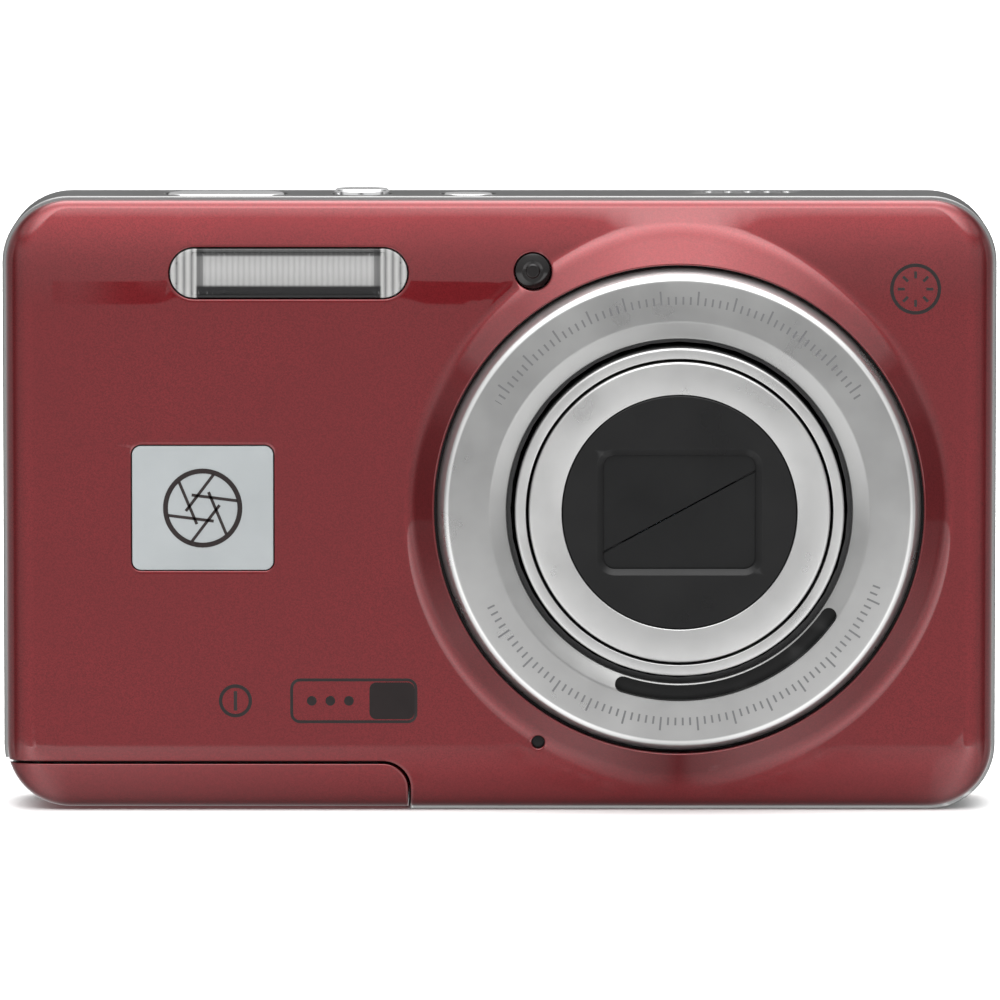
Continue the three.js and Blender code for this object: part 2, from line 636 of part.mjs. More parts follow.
// A toothed outline. One tooth's middle lies at the angle first, and count teeth follow it.
function gearOutline(teeth, count, first, x = 0, z = 0) {
  const pitch = (GEAR.module * teeth) / 2;
  const [root, tip] = [pitch - 1.2 * GEAR.module, pitch + 0.85 * GEAR.module];
  const step = (2 * Math.PI) / teeth;
  const [foot, head] = [0.3 * step, 0.12 * step];
  const points = [];
  const add = (r, a) => points.push([x + r * Math.cos(a), z + r * Math.sin(a)]);
  for (let i = 0; i < count; i++) {
    const a = first + i * step;
    add(root, a - foot);
    add(tip, a - head);
    add(tip, a + head);
    add(root, a + foot);
  }
  return points;
}

function camRing() {
  const step = (2 * Math.PI) / GEAR.ring;
  const towards = THREE.MathUtils.degToRad(GEAR.direction);
  const points = gearOutline(GEAR.ring, GEAR.sector, towards - 2 * step);
  const start = Math.atan2(points[0][1], points[0][0]);
  const sweep = (GEAR.sector - 0.4) * step;
  const inner = 17.7;
  const arc = [];
  for (let i = GEAR.sector; i >= 0; i--) {
    const a = start + (sweep * i) / GEAR.sector;
    arc.push([inner * Math.cos(a), inner * Math.sin(a)]);
  }
  return tube(17.2, 18.1, -8.0, 4.1).add(alongY(polygon([...points, ...arc]), ...GEAR_Y));
}

function motorPinion() {
  const [x, z] = pinionCentre();
  const towards = THREE.MathUtils.degToRad(GEAR.direction) + Math.PI;
  const points = gearOutline(GEAR.pinion, GEAR.pinion, towards + Math.PI / GEAR.pinion, x, z);
  return alongY(polygon(points), ...GEAR_Y).add(disc(0.4, -1.5, GEAR_Y[1] + 0.4, x, z, 12));
}
function zoomMotor() {
  const [x, z] = pinionCentre();
  return cut(disc(2.8, -4.4, 1.9, x, z, 20), disc(0.55, -1.8, 3, x, z, 12));
}

function outerBarrel() {
  const profile = [
    [15.65, -10.9],
    [16.5, -10.9],
    [16.75, -10.65],
    [16.75, 3.6],
    [15.65, 3.6],
  ];
  return turned(profile, 0, 0, FINE_SEGMENTS);
}
function innerBarrel() {
  const profile = [
    [12.0, -11.0],
    [12.15, -11.15],
    [15.2, -11.15],
    [15.35, -11.0],
    [15.35, 2.6],
    [14.3, 2.6],
    [14.3, -10.5],
    [12.0, -10.5],
  ];
  return turned(profile, 0, 0, FINE_SEGMENTS);
}
function frontPlate() {
  const opening = roundRect(0, 0, WINDOW.width, WINDOW.height, WINDOW.corner);
  return disc(11.9, -11.0, -10.55).subtract(alongY(opening, -12, -9));
}

// Each blade covers its side of the slanting seam, and turns about a pin near the seam's end.
// It stays within the barrel's bore both closed and open, so its outline is where two circles meet.
function bladePivot() {
  const a = THREE.MathUtils.degToRad(BLADE_PIVOT.angle);
  return new THREE.Vector2(BLADE_PIVOT.distance * Math.cos(a), BLADE_PIVOT.distance * Math.sin(a));
}
function barrierBlade() {
  const { seam, reach, gap, turn, front, thickness } = BLADE;
  const back = front + thickness;
  const pivot = bladePivot();
  const openCentre = new THREE.Vector2().rotateAround(pivot, -THREE.MathUtils.degToRad(turn));
  const a = THREE.MathUtils.degToRad(seam);
  const along = (u, v) => [u * Math.cos(a) - v * Math.sin(a), u * Math.sin(a) + v * Math.cos(a)];
  const side = polygon([along(-20, gap), along(20, gap), along(20, 20), along(-20, 20)]);
  return disc(reach, front, back, 0, 0, 40)
    .intersect(disc(reach, front - 1, back + 1, openCentre.x, openCentre.y, 40))
    .intersect(alongY(side, front - 1, back + 1))
    .subtract(disc(0.5, -12, -9, pivot.x, pivot.y, 12));
}
const halfTurn = (manifold) => geometryOf(manifold).rotateY(Math.PI);

function lightBaffle() {
  const pivot = bladePivot();
  const pins = [1, -1].map((s) => disc(0.35, -10.4, -9.4, s * pivot.x, s * pivot.y, 12));
  return join(tube(6.6, 13.95, -9.7, -9.3), ...pins);
}
function frontLens() {
  const profile = [
    [0, -9.0],
    [3.2, -8.8],
    [6.2, -8.1],
    [6.2, -6.6],
    [3.2, -6.1],
    [0, -5.9],
  ];
  return turned(profile, 0, 0, 28);
}
function lensCell() {
  const profile = [
    [6.35, -8.5],
    [8.0, -9.1],
    [13.9, -9.1],
    [13.9, -6.0],
    [7.0, -6.0],
    [6.35, -6.4],
  ];
  return turned(profile, 0, 0, 32);
}
const shutterUnit = () => join(tube(3.6, 13.5, -5.6, -4.5, 0, 0, 32), box(5.5, 9.5, -4.6, -3.4, -8.5, -5.5));
const ROD_X = 10.4; // guide rods either side of the optical axis
function focusCarriage() {
  const ring = tube(4.4, 6.2, 0.4, 2.8, 0, 0, 32);
  const arms = box(-11.7, 11.7, 0.8, 2.2, -1.1, 1.1);
  const holes = [-ROD_X, ROD_X].map((x) => disc(0.75, -5, 5, x, 0, 12));
  return cut(join(ring, arms), disc(4.4, -5, 5, 0, 0, 32), ...holes);
}
function focusLens() {
  const profile = [
    [0, 0.7],
    [2.2, 0.8],
    [4.2, 1.2],
    [4.2, 2.2],
    [2.2, 2.0],
    [0, 1.9],
  ];
  return turned(profile, 0, 0, 24);
}
const guideRod = (x) => disc(0.6, -4.1, 4.5, x, 0, 12);
const imageSensor = () => box(-4.7, 4.7, 4.2, 5.85, -3.7, 3.7).add(box(-11, 11, 5.8, 6.5, -9, 9));

// ---------------------------------------------------------------- materials and assembly
function material(color, roughness, metalness) {
  return new THREE.MeshStandardMaterial({ color, roughness, metalness });
}
const RED_PAINT = material("#8e2230", 0.35, 0.5);
const SILVER_PAINT = material("#9a9c9c", 0.4, 0.6);
const SATIN_METAL = material("#bdbdbd", 0.35, 0.8);
const CHROME = material("#e8e8e8", 0.08, 1.0);
const STEEL = material("#a0a2a6", 0.3, 1.0);
const BLACK_PLASTIC = material("#202122", 0.55, 0.0);
const DARK_GLOSS = material("#0c0d0f", 0.12, 0.0);
const CLEAR = material("#d5dbdc", 0.1, 0.0);
const GREEN_BOARD = material("#1d5a34", 0.5, 0.0);
const RUBBER = material("#2a2b2d", 0.8, 0.0);
const LIGHT_PRINT = material("#c2c6c8", 0.4, 0.2);

const camera = new THREE.Group();
function place(name, shape, finish, parent = camera) {
  const mesh = new THREE.Mesh(shape.isBufferGeometry ? shape : geometryOf(shape), finish);
  mesh.name = name;
  parent.add(mesh);
}

place("front_cover", frontCover(), RED_PAINT);
place("mid_frame", midFrame(), SILVER_PAINT);
place("rear_cover", rearCover(), RED_PAINT);
place("battery_door", batteryDoor(), RED_PAINT);
place("door_hinge_pin", hingePin(), STEEL);
place("tripod_bush", tripodBush(), STEEL);
for (const [name, key] of Object.entries(TOP_KEYS)) place(name, topKey(key), CHROME);
for (const [name, key] of Object.entries(REAR_KEYS)) place(name, rearKey(key), BLACK_PLASTIC);
place("dpad_ring", padRing(), BLACK_PLASTIC);
place("dpad_gimbal", padGimbal(), STEEL);
place("set_button", setButton(), BLACK_PLASTIC);
place("zoom_rocker", zoomRocker(), BLACK_PLASTIC);
place("screen_glass", screenGlass(), DARK_GLOSS);
place("screen_module", screenModule(), STEEL);
place("chassis_plate", chassisPlate(), STEEL);
place("main_board", mainBoard(), GREEN_BOARD);
place("top_switch_board", topBoard(), GREEN_BOARD);
place("battery_box", batteryBox(), BLACK_PLASTIC);
place("battery", battery(), BLACK_PLASTIC);
place("memory_card", memoryCard(), BLACK_PLASTIC);
place("card_slot", cardSlot(), STEEL);
place("flash_window", flashWindow(), CLEAR);
place("flash_reflector", flashReflector(), CHROME);
place("flash_tube", flashTube(), CLEAR);
place("flash_capacitor", flashCapacitor(), BLACK_PLASTIC);
place("focus_lamp_window", lampWindow(), DARK_GLOSS);
place("microphone", microphone(), STEEL);
place("front_badge", badge(), LIGHT_PRINT);
place("speaker", speaker(), BLACK_PLASTIC);
place("usb_socket", usbSocket(), STEEL);
place("usb_cover", usbCover(), RUBBER);
place("strap_eyelet", strapEyelet(), STEEL);
for (const [name, ...where] of SCREWS) place(name, screw(...where), STEEL);

const lens = new THREE.Group();
lens.position.set(LENS.x, 0, LENS.z);
camera.add(lens);
place("lens_bezel", lensBezel(), SATIN_METAL, lens);
place("lens_housing", lensHousing(), BLACK_PLASTIC, lens);
place("cam_ring", camRing(), BLACK_PLASTIC, lens);
place("motor_pinion", motorPinion(), STEEL, lens);
place("zoom_motor", zoomMotor(), STEEL, lens);
place("outer_barrel", outerBarrel(), SATIN_METAL, lens);
place("inner_barrel", innerBarrel(), SATIN_METAL, lens);
place("front_plate", frontPlate(), BLACK_PLASTIC, lens);
place("blade_upper", barrierBlade(), BLACK_PLASTIC, lens);
place("blade_lower", halfTurn(barrierBlade()), BLACK_PLASTIC, lens);
place("light_baffle", lightBaffle(), BLACK_PLASTIC, lens);
place("front_lens", frontLens(), CLEAR, lens);
place("lens_cell", lensCell(), BLACK_PLASTIC, lens);
place("shutter_unit", shutterUnit(), BLACK_PLASTIC, lens);
place("focus_carriage", focusCarriage(), BLACK_PLASTIC, lens);
place("focus_lens", focusLens(), CLEAR, lens);
place("guide_rod_left", guideRod(-ROD_X), STEEL, lens);
place("guide_rod_right", guideRod(ROD_X), STEEL, lens);
place("image_sensor", imageSensor(), DARK_GLOSS, lens);

export default camera;
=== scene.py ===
"""Looks of the compact digital camera: fine shells, lens rings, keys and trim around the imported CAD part."""

import json
import math

import bmesh
import bpy
import numpy as np
from mathutils import Matrix, Vector
from mathutils.geometry import delaunay_2d_cdt


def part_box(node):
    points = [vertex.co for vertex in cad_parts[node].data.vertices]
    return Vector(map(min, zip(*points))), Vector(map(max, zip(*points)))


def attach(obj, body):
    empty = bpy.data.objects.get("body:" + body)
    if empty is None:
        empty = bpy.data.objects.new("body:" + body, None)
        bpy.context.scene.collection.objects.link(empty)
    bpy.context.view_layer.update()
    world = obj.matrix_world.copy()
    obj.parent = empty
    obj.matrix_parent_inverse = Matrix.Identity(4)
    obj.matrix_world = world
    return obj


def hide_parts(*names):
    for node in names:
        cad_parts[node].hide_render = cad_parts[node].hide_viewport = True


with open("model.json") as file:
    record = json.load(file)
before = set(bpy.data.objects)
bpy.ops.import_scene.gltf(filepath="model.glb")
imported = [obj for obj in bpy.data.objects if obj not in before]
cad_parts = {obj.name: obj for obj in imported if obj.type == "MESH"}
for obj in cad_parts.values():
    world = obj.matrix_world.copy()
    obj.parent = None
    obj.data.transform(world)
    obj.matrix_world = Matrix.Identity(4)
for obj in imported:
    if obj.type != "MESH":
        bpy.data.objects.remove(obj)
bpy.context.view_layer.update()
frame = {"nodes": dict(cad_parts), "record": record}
MM = 0.001


# ---------------------------------------------------------------- sizes, in millimetres, from the frame
def box(node):
    low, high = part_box(node)
    return np.array(low) / MM, np.array(high) / MM


def middle(node):
    low, high = box(node)
    return (low + high) / 2


def extent(node):
    """Low corner, high corner, middle and size of a CAD node."""
    low, high = box(node)
    return low, high, (low + high) / 2, high - low


FRAME_LOW, FRAME_HIGH = box("mid_frame")
COVER_LOW, COVER_HIGH = box("front_cover")
REAR_LOW, REAR_HIGH = box("rear_cover")
LENS_X, _, LENS_Z = middle("lens_bezel")
HALF_WIDTH, HEIGHT = FRAME_HIGH[0], FRAME_HIGH[2]
CORNER = 6.8  # radius of the body's corners
INSET = HALF_WIDTH - COVER_HIGH[0]  # the covers stand this far inside the mid frame's outline
WALL = 1.3
COLLAR_RISE = 2.0
FACE_Y = COVER_LOW[1] + COLLAR_RISE  # flat of the front cover
BACK_Y = REAR_HIGH[1]
FRONT_SPLIT = COVER_HIGH[1]
REAR_SPLIT = REAR_LOW[1]
LEAN_FROM = 52.0  # the front face curves back above this height
LEAN_RADIUS = 34.0
COLLAR_HOLE = 24.95
COLLAR_FLAT = 25.15  # the collar's cone starts here
COLLAR_FOOT = 29.2  # beyond the cone's foot all the way round
COLLAR_SLOPE = 0.85
COLLAR_BLEND = 0.6  # size of the hollow where the cone meets the face
# Inset and depth of each edge roll.
FRONT_ROLL = {"side": (3.0, 2.4), "top": (0.8, 0.75), "bottom": (6.3, 2.95)}
REAR_ROLL = {"side": (2.6, 2.2), "top": (2.4, 2.2), "bottom": (3.0, 2.4)}
DOOR_RIGHT, DOOR_TOP = box("battery_door")[1][0], box("battery_door")[1][2]
DOOR_CORNER = 2.6
DOOR_REAR = 5.2
HINGE_Y, HINGE_Z = 5.2, 1.05
SEAM = 0.25


# ---------------------------------------------------------------- mesh helpers
SHARP = 34.0  # an edge that turns by more degrees than this is shaded sharp
MERGE = 1e-4


def sharpen(mesh, degrees=SHARP):
    """Smooth shading everywhere but across edges that turn more than this angle."""
    bm = bmesh.new()
    bm.from_mesh(mesh)
    limit = math.radians(degrees)
    for face in bm.faces:
        face.smooth = True
    for edge in bm.edges:
        edge.smooth = len(edge.link_faces) == 2 and edge.calc_face_angle(0.0) < limit
    bm.to_mesh(mesh)
    bm.free()


def piece(name, shape, body=None, node=None, look=None, degrees=SHARP):
    """A closed shape in millimetres as an object that rides on a body and may stand for a CAD node."""
    points, faces = shape
    mesh = bpy.data.meshes.new(name)
    mesh.from_pydata([tuple(p) for p in points], [], [tuple(f) for f in faces])
    bm = bmesh.new()
    bm.from_mesh(mesh)
    bmesh.ops.remove_doubles(bm, verts=bm.verts, dist=MERGE)
    bmesh.ops.recalc_face_normals(bm, faces=bm.faces)
    bm.to_mesh(mesh)
    bm.free()
    mesh.transform(Matrix.Scale(MM, 4))
    sharpen(mesh, degrees)
    obj = bpy.data.objects.new(name, mesh)
    bpy.context.scene.collection.objects.link(obj)
    if body:
        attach(obj, body)
    if node:
        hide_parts(node)
    if look:
        mesh.materials.append(M[look])
    return obj


def cut_with(obj, cutters, operation="DIFFERENCE"):
    """Cuts or joins helper solids with exact booleans, then removes the helpers."""
    for cutter in cutters:
        modifier = obj.modifiers.new("cut", "BOOLEAN")
        modifier.operation = operation
        modifier.solver = "EXACT"
        modifier.object = cutter
        bpy.context.view_layer.update()
        graph = bpy.context.evaluated_depsgraph_get()
        mesh = bpy.data.meshes.new_from_object(obj.evaluated_get(graph))
        obj.modifiers.remove(modifier)
        old = obj.data
        obj.data = mesh
        bpy.data.meshes.remove(old)
        bpy.data.objects.remove(cutter)
    sharpen(obj.data)
    return obj


def polar(cx, cz, radius, angle):
    return cx + radius * math.cos(angle), cz + radius * math.sin(angle)


def rounded(cx, cz, width, height, radius, steps=10):
    """A counterclockwise loop of points around a rounded rectangle."""
    radius = min(radius, width / 2 - 1e-3, height / 2 - 1e-3)
    loop = []
    for quarter, (sx, sz) in enumerate([(1, 1), (-1, 1), (-1, -1), (1, -1)]):
        x, z = cx + sx * (width / 2 - radius), cz + sz * (height / 2 - radius)
        loop += [polar(x, z, radius, (quarter + i / steps) * math.pi / 2) for i in range(steps + 1)]
    return loop


def circle(cx, cz, radius, steps=64):
    return [polar(cx, cz, radius, 2 * math.pi * i / steps) for i in range(steps)]


AXES = {
    "-y": lambda u, v, h: (u, -h, v),
    "+y": lambda u, v, h: (u, h, v),
    "+z": lambda u, v, h: (u, v, h),
    "-z": lambda u, v, h: (u, v, -h),
    "+x": lambda u, v, h: (h, u, v),
    "-x": lambda u, v, h: (-h, u, v),
}


def ring_faces(rings, count, closed):
    """Quads from each ring of points to the next. A closed run also joins the last ring to the first."""
    faces = []
    for k in range(rings if closed else rings - 1):
        n = (k + 1) % rings
        for i in range(count):
            j = (i + 1) % count
            faces.append((k * count + i, k * count + j, n * count + j, n * count + i))
    return faces


def placed(loops, axis):
    return [AXES[axis](u, v, level) for loop, level in loops for u, v in loop]


def stack(loops, axis):
    """A solid through loops of equally many points, each at its own level along an axis."""
    rings, count = len(loops), len(loops[0][0])
    ends = [tuple(range(count))[::-1], tuple(range((rings - 1) * count, rings * count))]
    return placed(loops, axis), ring_faces(rings, count, False) + ends


def tube(loops, axis):
    """A solid with a hole through it, from loops that run round its wall."""
    return placed(loops, axis), ring_faces(len(loops), len(loops[0][0]), True)


def solid(outline, levels, axis):
    """A solid whose outline grows or shrinks from level to level."""
    return stack([(outline.loop(grow), level) for grow, level in levels], axis)


def turned(cx, cz, levels, axis, steps):
    """A solid through circles, each with its own radius and level."""
    return stack([(circle(cx, cz, radius, steps), level) for radius, level in levels], axis)


def rolled_edge(inset, base, rise, start, count):
    """Growths and levels over a rounded upper edge."""
    angles = np.linspace(start, math.pi / 2, count)
    return [(-inset * (1 - math.cos(a)), base + rise * math.sin(a)) for a in angles]


def joined(*parts):
    points, faces = [], []
    for more_points, more_faces in parts:
        faces += [tuple(i + len(points) for i in face) for face in more_faces]
        points += list(more_points)
    return points, faces


def fillet(profile, radius, steps=4):
    """Rounds every corner of a closed profile. A corner may carry its own radius as a third number."""
    rounded_profile = []
    count = len(profile)
    for i in range(count):
        p = np.array(profile[i][:2], float)
        a = np.array(profile[i - 1][:2], float) - p
        b = np.array(profile[(i + 1) % count][:2], float) - p
        size = profile[i][2] if len(profile[i]) > 2 else radius
        la, lb = np.linalg.norm(a), np.linalg.norm(b)
        size = min(size, 0.45 * la, 0.45 * lb)
        if size < 1e-3 or p[0] < 1e-6:
            rounded_profile.append(tuple(p))
            continue
        start, end = p + a / la * size, p + b / lb * size
        for k in range(steps + 1):
            t = k / steps
            q = (1 - t) ** 2 * start + 2 * t * (1 - t) * p + t**2 * end
            rounded_profile.append(tuple(q))
    return rounded_profile


def lathe(profile, cx, cz, segments=144, radius=0.15):
    """A body turned about the optical direction from a closed profile of (radius, y)."""
    outline = fillet(profile, radius)
    count = len(outline)
    points, faces = [], []
    for s in range(segments):
        a = 2 * math.pi * s / segments
        for r, y in outline:
            x, z = polar(cx, cz, r, a)
            points.append((x, y, z))
    for s in range(segments):
        t = (s + 1) % segments
        for i in range(count):
            j = (i + 1) % count
            if outline[i][0] < 1e-6 and outline[j][0] < 1e-6:
                continue
            faces.append((s * count + i, s * count + j, t * count + j, t * count + i))
    return points, faces


# ---------------------------------------------------------------- outlines with signed distance
class Rounded:
    """A rounded rectangle, or a circle when its radius is half its size."""

    def __init__(self, x, z, width, height, radius, steps=10):
        self.x, self.z, self.width, self.height, self.steps = x, z, width, height, steps
        self.radius = min(radius, width / 2 - 1e-4, height / 2 - 1e-4)

    def loop(self, grow):
        return rounded(
            self.x, self.z, self.width + 2 * grow, self.height + 2 * grow, self.radius + grow, self.steps
        )

    def grown(self, amount):
        size = self.width + 2 * amount, self.height + 2 * amount
        return Rounded(self.x, self.z, *size, self.radius + amount, self.steps)

    def distance(self, x, z):
        qx = np.abs(x - self.x) - (self.width / 2 - self.radius)
        qz = np.abs(z - self.z) - (self.height / 2 - self.radius)
        outside = np.hypot(np.maximum(qx, 0), np.maximum(qz, 0))
        return outside + np.minimum(np.maximum(qx, qz), 0) - self.radius


def Round(x, z, radius, steps=10):
    return Rounded(x, z, 2 * radius, 2 * radius, radius, steps)


class Roll:
    """The body's outline with an edge roll that differs at the sides, the top and the base."""

    CORNER_STEPS = 18
    STRAIGHT = 2.2  # distance between points along the straight sides

    def __init__(self, face, towards, roll, leans=False):
        self.face, self.towards, self.roll, self.leans = face, towards, roll, leans
        self.radius = CORNER - INSET
        self.cx = HALF_WIDTH - CORNER

    def ring(self, t):
        side = self.radius - self.roll["side"][0] * t
        corners = []
        for quarter in range(4):
            upper = quarter < 2
            vertical = self.radius - self.roll["top" if upper else "bottom"][0] * t
            cx = self.cx if quarter in (0, 3) else -self.cx
            cz = HEIGHT - CORNER if upper else CORNER
            for i in range(self.CORNER_STEPS + 1):
                a = (quarter + i / self.CORNER_STEPS) * math.pi / 2
                corners.append((cx + side * math.cos(a), cz + vertical * math.sin(a)))
        points = []
        for i, p in enumerate(corners):
            q = corners[(i + 1) % len(corners)]
            points.append(p)
            straight = (i + 1) % (self.CORNER_STEPS + 1) == 0
            steps = max(1, round(math.dist(p, q) / self.STRAIGHT)) if straight else 1
            for k in range(1, steps):
                points.append((p[0] + (q[0] - p[0]) * k / steps, p[1] + (q[1] - p[1]) * k / steps))
        return points

    def solve(self, x, z):
        """Roll parameter (0 at the outline, 1 on the flat), share of vertical roll and outward direction."""
        upper = z > HEIGHT / 2
        dx = np.abs(x) - self.cx
        dz = np.where(upper, z - (HEIGHT - CORNER), CORNER - z)
        side = self.roll["side"][0]
        vertical = np.where(upper, self.roll["top"][0], self.roll["bottom"][0])
        px, pz = np.maximum(dx, 0), np.maximum(dz, 0)
        low, high = np.full_like(x, -0.3), np.ones_like(x)
        for _ in range(42):
            t = (low + high) / 2
            outside = (px / (self.radius - side * t)) ** 2 + (pz / (self.radius - vertical * t)) ** 2 > 1
            high = np.where(outside, t, high)
            low = np.where(outside, low, t)
        t = (low + high) / 2
        ux, uz = px / (self.radius - side * t), pz / (self.radius - vertical * t)
        share = uz**2 / np.maximum(ux**2 + uz**2, 1e-9)
        gx, gz = ux / (self.radius - side * t), uz / (self.radius - vertical * t)
        size = np.maximum(np.hypot(gx, gz), 1e-9)
        out = np.stack([np.sign(x) * gx / size, np.where(upper, 1, -1) * gz / size], 1)
        return t, share, out, upper

    def surface(self, x, z):
        """Height of the skin, its outward tilt (cosine, sine) and the outward direction."""
        t, share, out, upper = self.solve(x, z)
        t = np.clip(t, 0, 1)
        cosine = 1 - t
        sine = np.sqrt(np.maximum(0, 1 - cosine**2))
        vertical = np.where(upper, self.roll["top"][1], self.roll["bottom"][1])
        depth = self.roll["side"][1] * (1 - share) + vertical * share
        return self.face + self.towards * (1 - sine) * depth, cosine, sine, out


def bevel(distance, radius):
    """How far a rounded edge drops at a distance from the edge."""
    inner = np.clip(radius - distance, 0, radius)
    return radius - np.sqrt(np.maximum(radius**2 - inner**2, 0))


def bevel_offsets(radius, steps=4):
    return [radius * (1 - math.cos(math.pi / 2 * k / steps)) for k in range(steps + 1)]


def triangulate(loops, points, keep):
    """Triangles over closed loops, open paths and loose points. keep(x, z) says which centres stay."""
    coords, edges = [], []
    for path, closed in loops:
        start = len(coords)
        coords += path
        edges += [(start + i, start + i + 1) for i in range(len(path) - 1)]
        if closed:
            edges.append((start + len(path) - 1, start))
    coords += points
    verts, _, faces, *_ = delaunay_2d_cdt([Vector(p) for p in coords], edges, [], 0, 1e-5)
    xz = np.array([tuple(v) for v in verts])
    tris = np.array([f for f in faces if len(f) == 3])
    centre = xz[tris].mean(axis=1)
    tris = tris[keep(centre[:, 0], centre[:, 1])]
    used = np.unique(tris)
    index = np.full(len(xz), -1)
    index[used] = np.arange(len(used))
    return xz[used], index[tris]


def boundary(tris):
    """Directed edges that belong to one triangle only."""
    seen = {}
    for a, b, c in tris:
        for e in ((a, b), (b, c), (c, a)):
            seen[e] = True
    return [e for e in seen if (e[1], e[0]) not in seen]


def shell(tris, front, back, skirts):
    """Closes a skin with its inner side. skirts gives outline vertices their points between the two."""
    count = len(front)
    points = [tuple(p) for p in front] + [tuple(p) for p in back]
    chains = {}

    def chain(v):
        if v not in chains:
            chains[v] = [v]
            for p in skirts.get(v, ()):
                points.append(tuple(p))
                chains[v].append(len(points) - 1)
            chains[v].append(v + count)
        return chains[v]

    faces = [tuple(int(i) for i in t) for t in tris]
    faces += [tuple(int(i) + count for i in t[::-1]) for t in tris]
    for a, b in boundary(tris):
        ca, cb = chain(int(a)), chain(int(b))
        if len(ca) == len(cb):
            faces += [(ca[i + 1], cb[i + 1], cb[i], ca[i]) for i in range(len(ca) - 1)]
        else:
            faces.append(tuple(reversed(ca)) + tuple(cb))
    return points, faces


def lean(z):
    """How far the front face has curved back at a height."""
    up = np.maximum(np.asarray(z, float) - LEAN_FROM, 0)
    return LEAN_RADIUS - np.sqrt(LEAN_RADIUS**2 - up**2)


def with_collar(height, r):
    """The face or the collar's cone, whichever stands further forward, with a hollow where they meet."""
    cone = FACE_Y - COLLAR_RISE + COLLAR_SLOPE * np.maximum(r - COLLAR_FLAT, 0)
    near = np.maximum(COLLAR_BLEND - np.abs(cone - height), 0)
    return np.minimum(cone, height) - near**2 / (4 * COLLAR_BLEND)


COVER_ROWS = 12  # rings of points over the edge roll
COVER_GRID = 1.9  # distance between loose points on the flat
CONFINE = 2.2  # a loop this many bevels out keeps a hole's soft shading near its edge
COLLAR_EDGE = 0.2


def cover(roll, holes, edge, split, paths=(), beyond=None, collar=False, end_round=0.12, ceiling=None):
    """A rolled cover with rounded holes, as points and faces.

    paths are more lines of points, beyond(x, z) is positive where the cover exists, and nothing reaches
    above a ceiling.
    """
    loops = []
    points = []

    def clear(p, gap=0.45):
        x, z = np.array([p[0]]), np.array([p[1]])
        if collar and COLLAR_HOLE - 1 < math.hypot(p[0] - LENS_X, p[1] - LENS_Z) < COLLAR_FOOT + 0.3:
            return False
        return all(hole.distance(x, z)[0] > gap for hole in holes)

    for k in range(COVER_ROWS + 1):
        t = 1 - math.cos(math.pi / 2 * k / COVER_ROWS)
        ring = roll.ring(t)
        if k == 0:
            loops.append((ring, True))
            continue
        run = []
        for p in ring + ring[:1]:
            if clear(p, 0.3):
                run.append(p)
                continue
            if len(run) > 1:
                loops.append((run, False))
            run = []
        if len(run) > 1:
            loops.append((run, False))
    for hole in holes:
        for offset in bevel_offsets(edge):
            loops.append((hole.loop(offset), True))
        loops.append((hole.loop(edge * CONFINE), True))
    if collar:
        radii = [COLLAR_HOLE + d for d in bevel_offsets(COLLAR_EDGE)]
        radii += list(np.linspace(COLLAR_FLAT, COLLAR_FOOT, 18)[1:])
        for radius in radii:
            ring = circle(LENS_X, LENS_Z, radius, 220)
            if radius < COLLAR_FLAT + 0.5:
                loops.append((ring, True))
                continue
            for p in ring:
                x, z = np.array([p[0]]), np.array([p[1]])
                if all(hole.distance(x, z)[0] > 0.5 for hole in holes):
                    points.append(p)
    loops += [(path, False) for path in paths]
    for x in np.arange(-HALF_WIDTH + 3.4, HALF_WIDTH - 3, COVER_GRID):
        for z in np.arange(7.3, HEIGHT - 3.2, COVER_GRID):
            if clear((x, z), 0.8):
                points.append((float(x), float(z)))

    def keep(x, z):
        t = roll.solve(x, z)[0]
        kept = t > 1e-6
        for hole in holes:
            kept &= hole.distance(x, z) > 0
        if collar:
            kept &= np.hypot(x - LENS_X, z - LENS_Z) > COLLAR_HOLE
        if beyond is not None:
            kept &= beyond(x, z) > 0
        return kept

    xz, tris = triangulate(loops, points, keep)
    x, z = xz[:, 0], xz[:, 1]
    height, cosine, sine, out = roll.surface(x, z)
    towards = roll.towards
    if roll.leans:
        height = height + lean(z)
    if collar:
        r = np.hypot(x - LENS_X, z - LENS_Z)
        height = with_collar(height, r)
    skin = height.copy()
    if collar:
        skin += towards * bevel(np.maximum(r - COLLAR_HOLE, 0), COLLAR_EDGE)
    for hole in holes:
        skin += towards * bevel(np.maximum(hole.distance(x, z), 0), edge)
    if beyond is not None:
        skin += towards * bevel(np.maximum(beyond(x, z), 0), edge)
    front = np.stack([x, skin, z], 1)
    inward = out * (cosine * WALL)[:, None]
    back_y = height + towards * sine * WALL
    back_y = np.minimum(back_y, split) if towards > 0 else np.maximum(back_y, split)
    back = np.stack([x - inward[:, 0], back_y, z - inward[:, 1]], 1)
    if ceiling is not None:
        back[:, 2] = np.minimum(back[:, 2], ceiling)
    t = roll.solve(x, z)[0]
    skirts = {}
    edges = boundary(tris)
    rim = {int(v) for e in edges for v in e if t[v] < 2e-4}
    for v in rim:
        ox, oz = out[v]
        steps = []
        for k in range(4):
            a = math.pi / 2 * k / 3
            shift = end_round * (1 - math.cos(a))
            level = split - towards * end_round * (1 - math.sin(a))
            steps.append((x[v] - ox * shift, level, z[v] - oz * shift))
        steps.append((x[v] - ox * WALL, split, z[v] - oz * WALL))
        if ceiling is not None:
            steps = [(px, py, min(pz, ceiling)) for px, py, pz in steps]
        skirts[v] = steps
    return shell(tris, front, back, skirts)


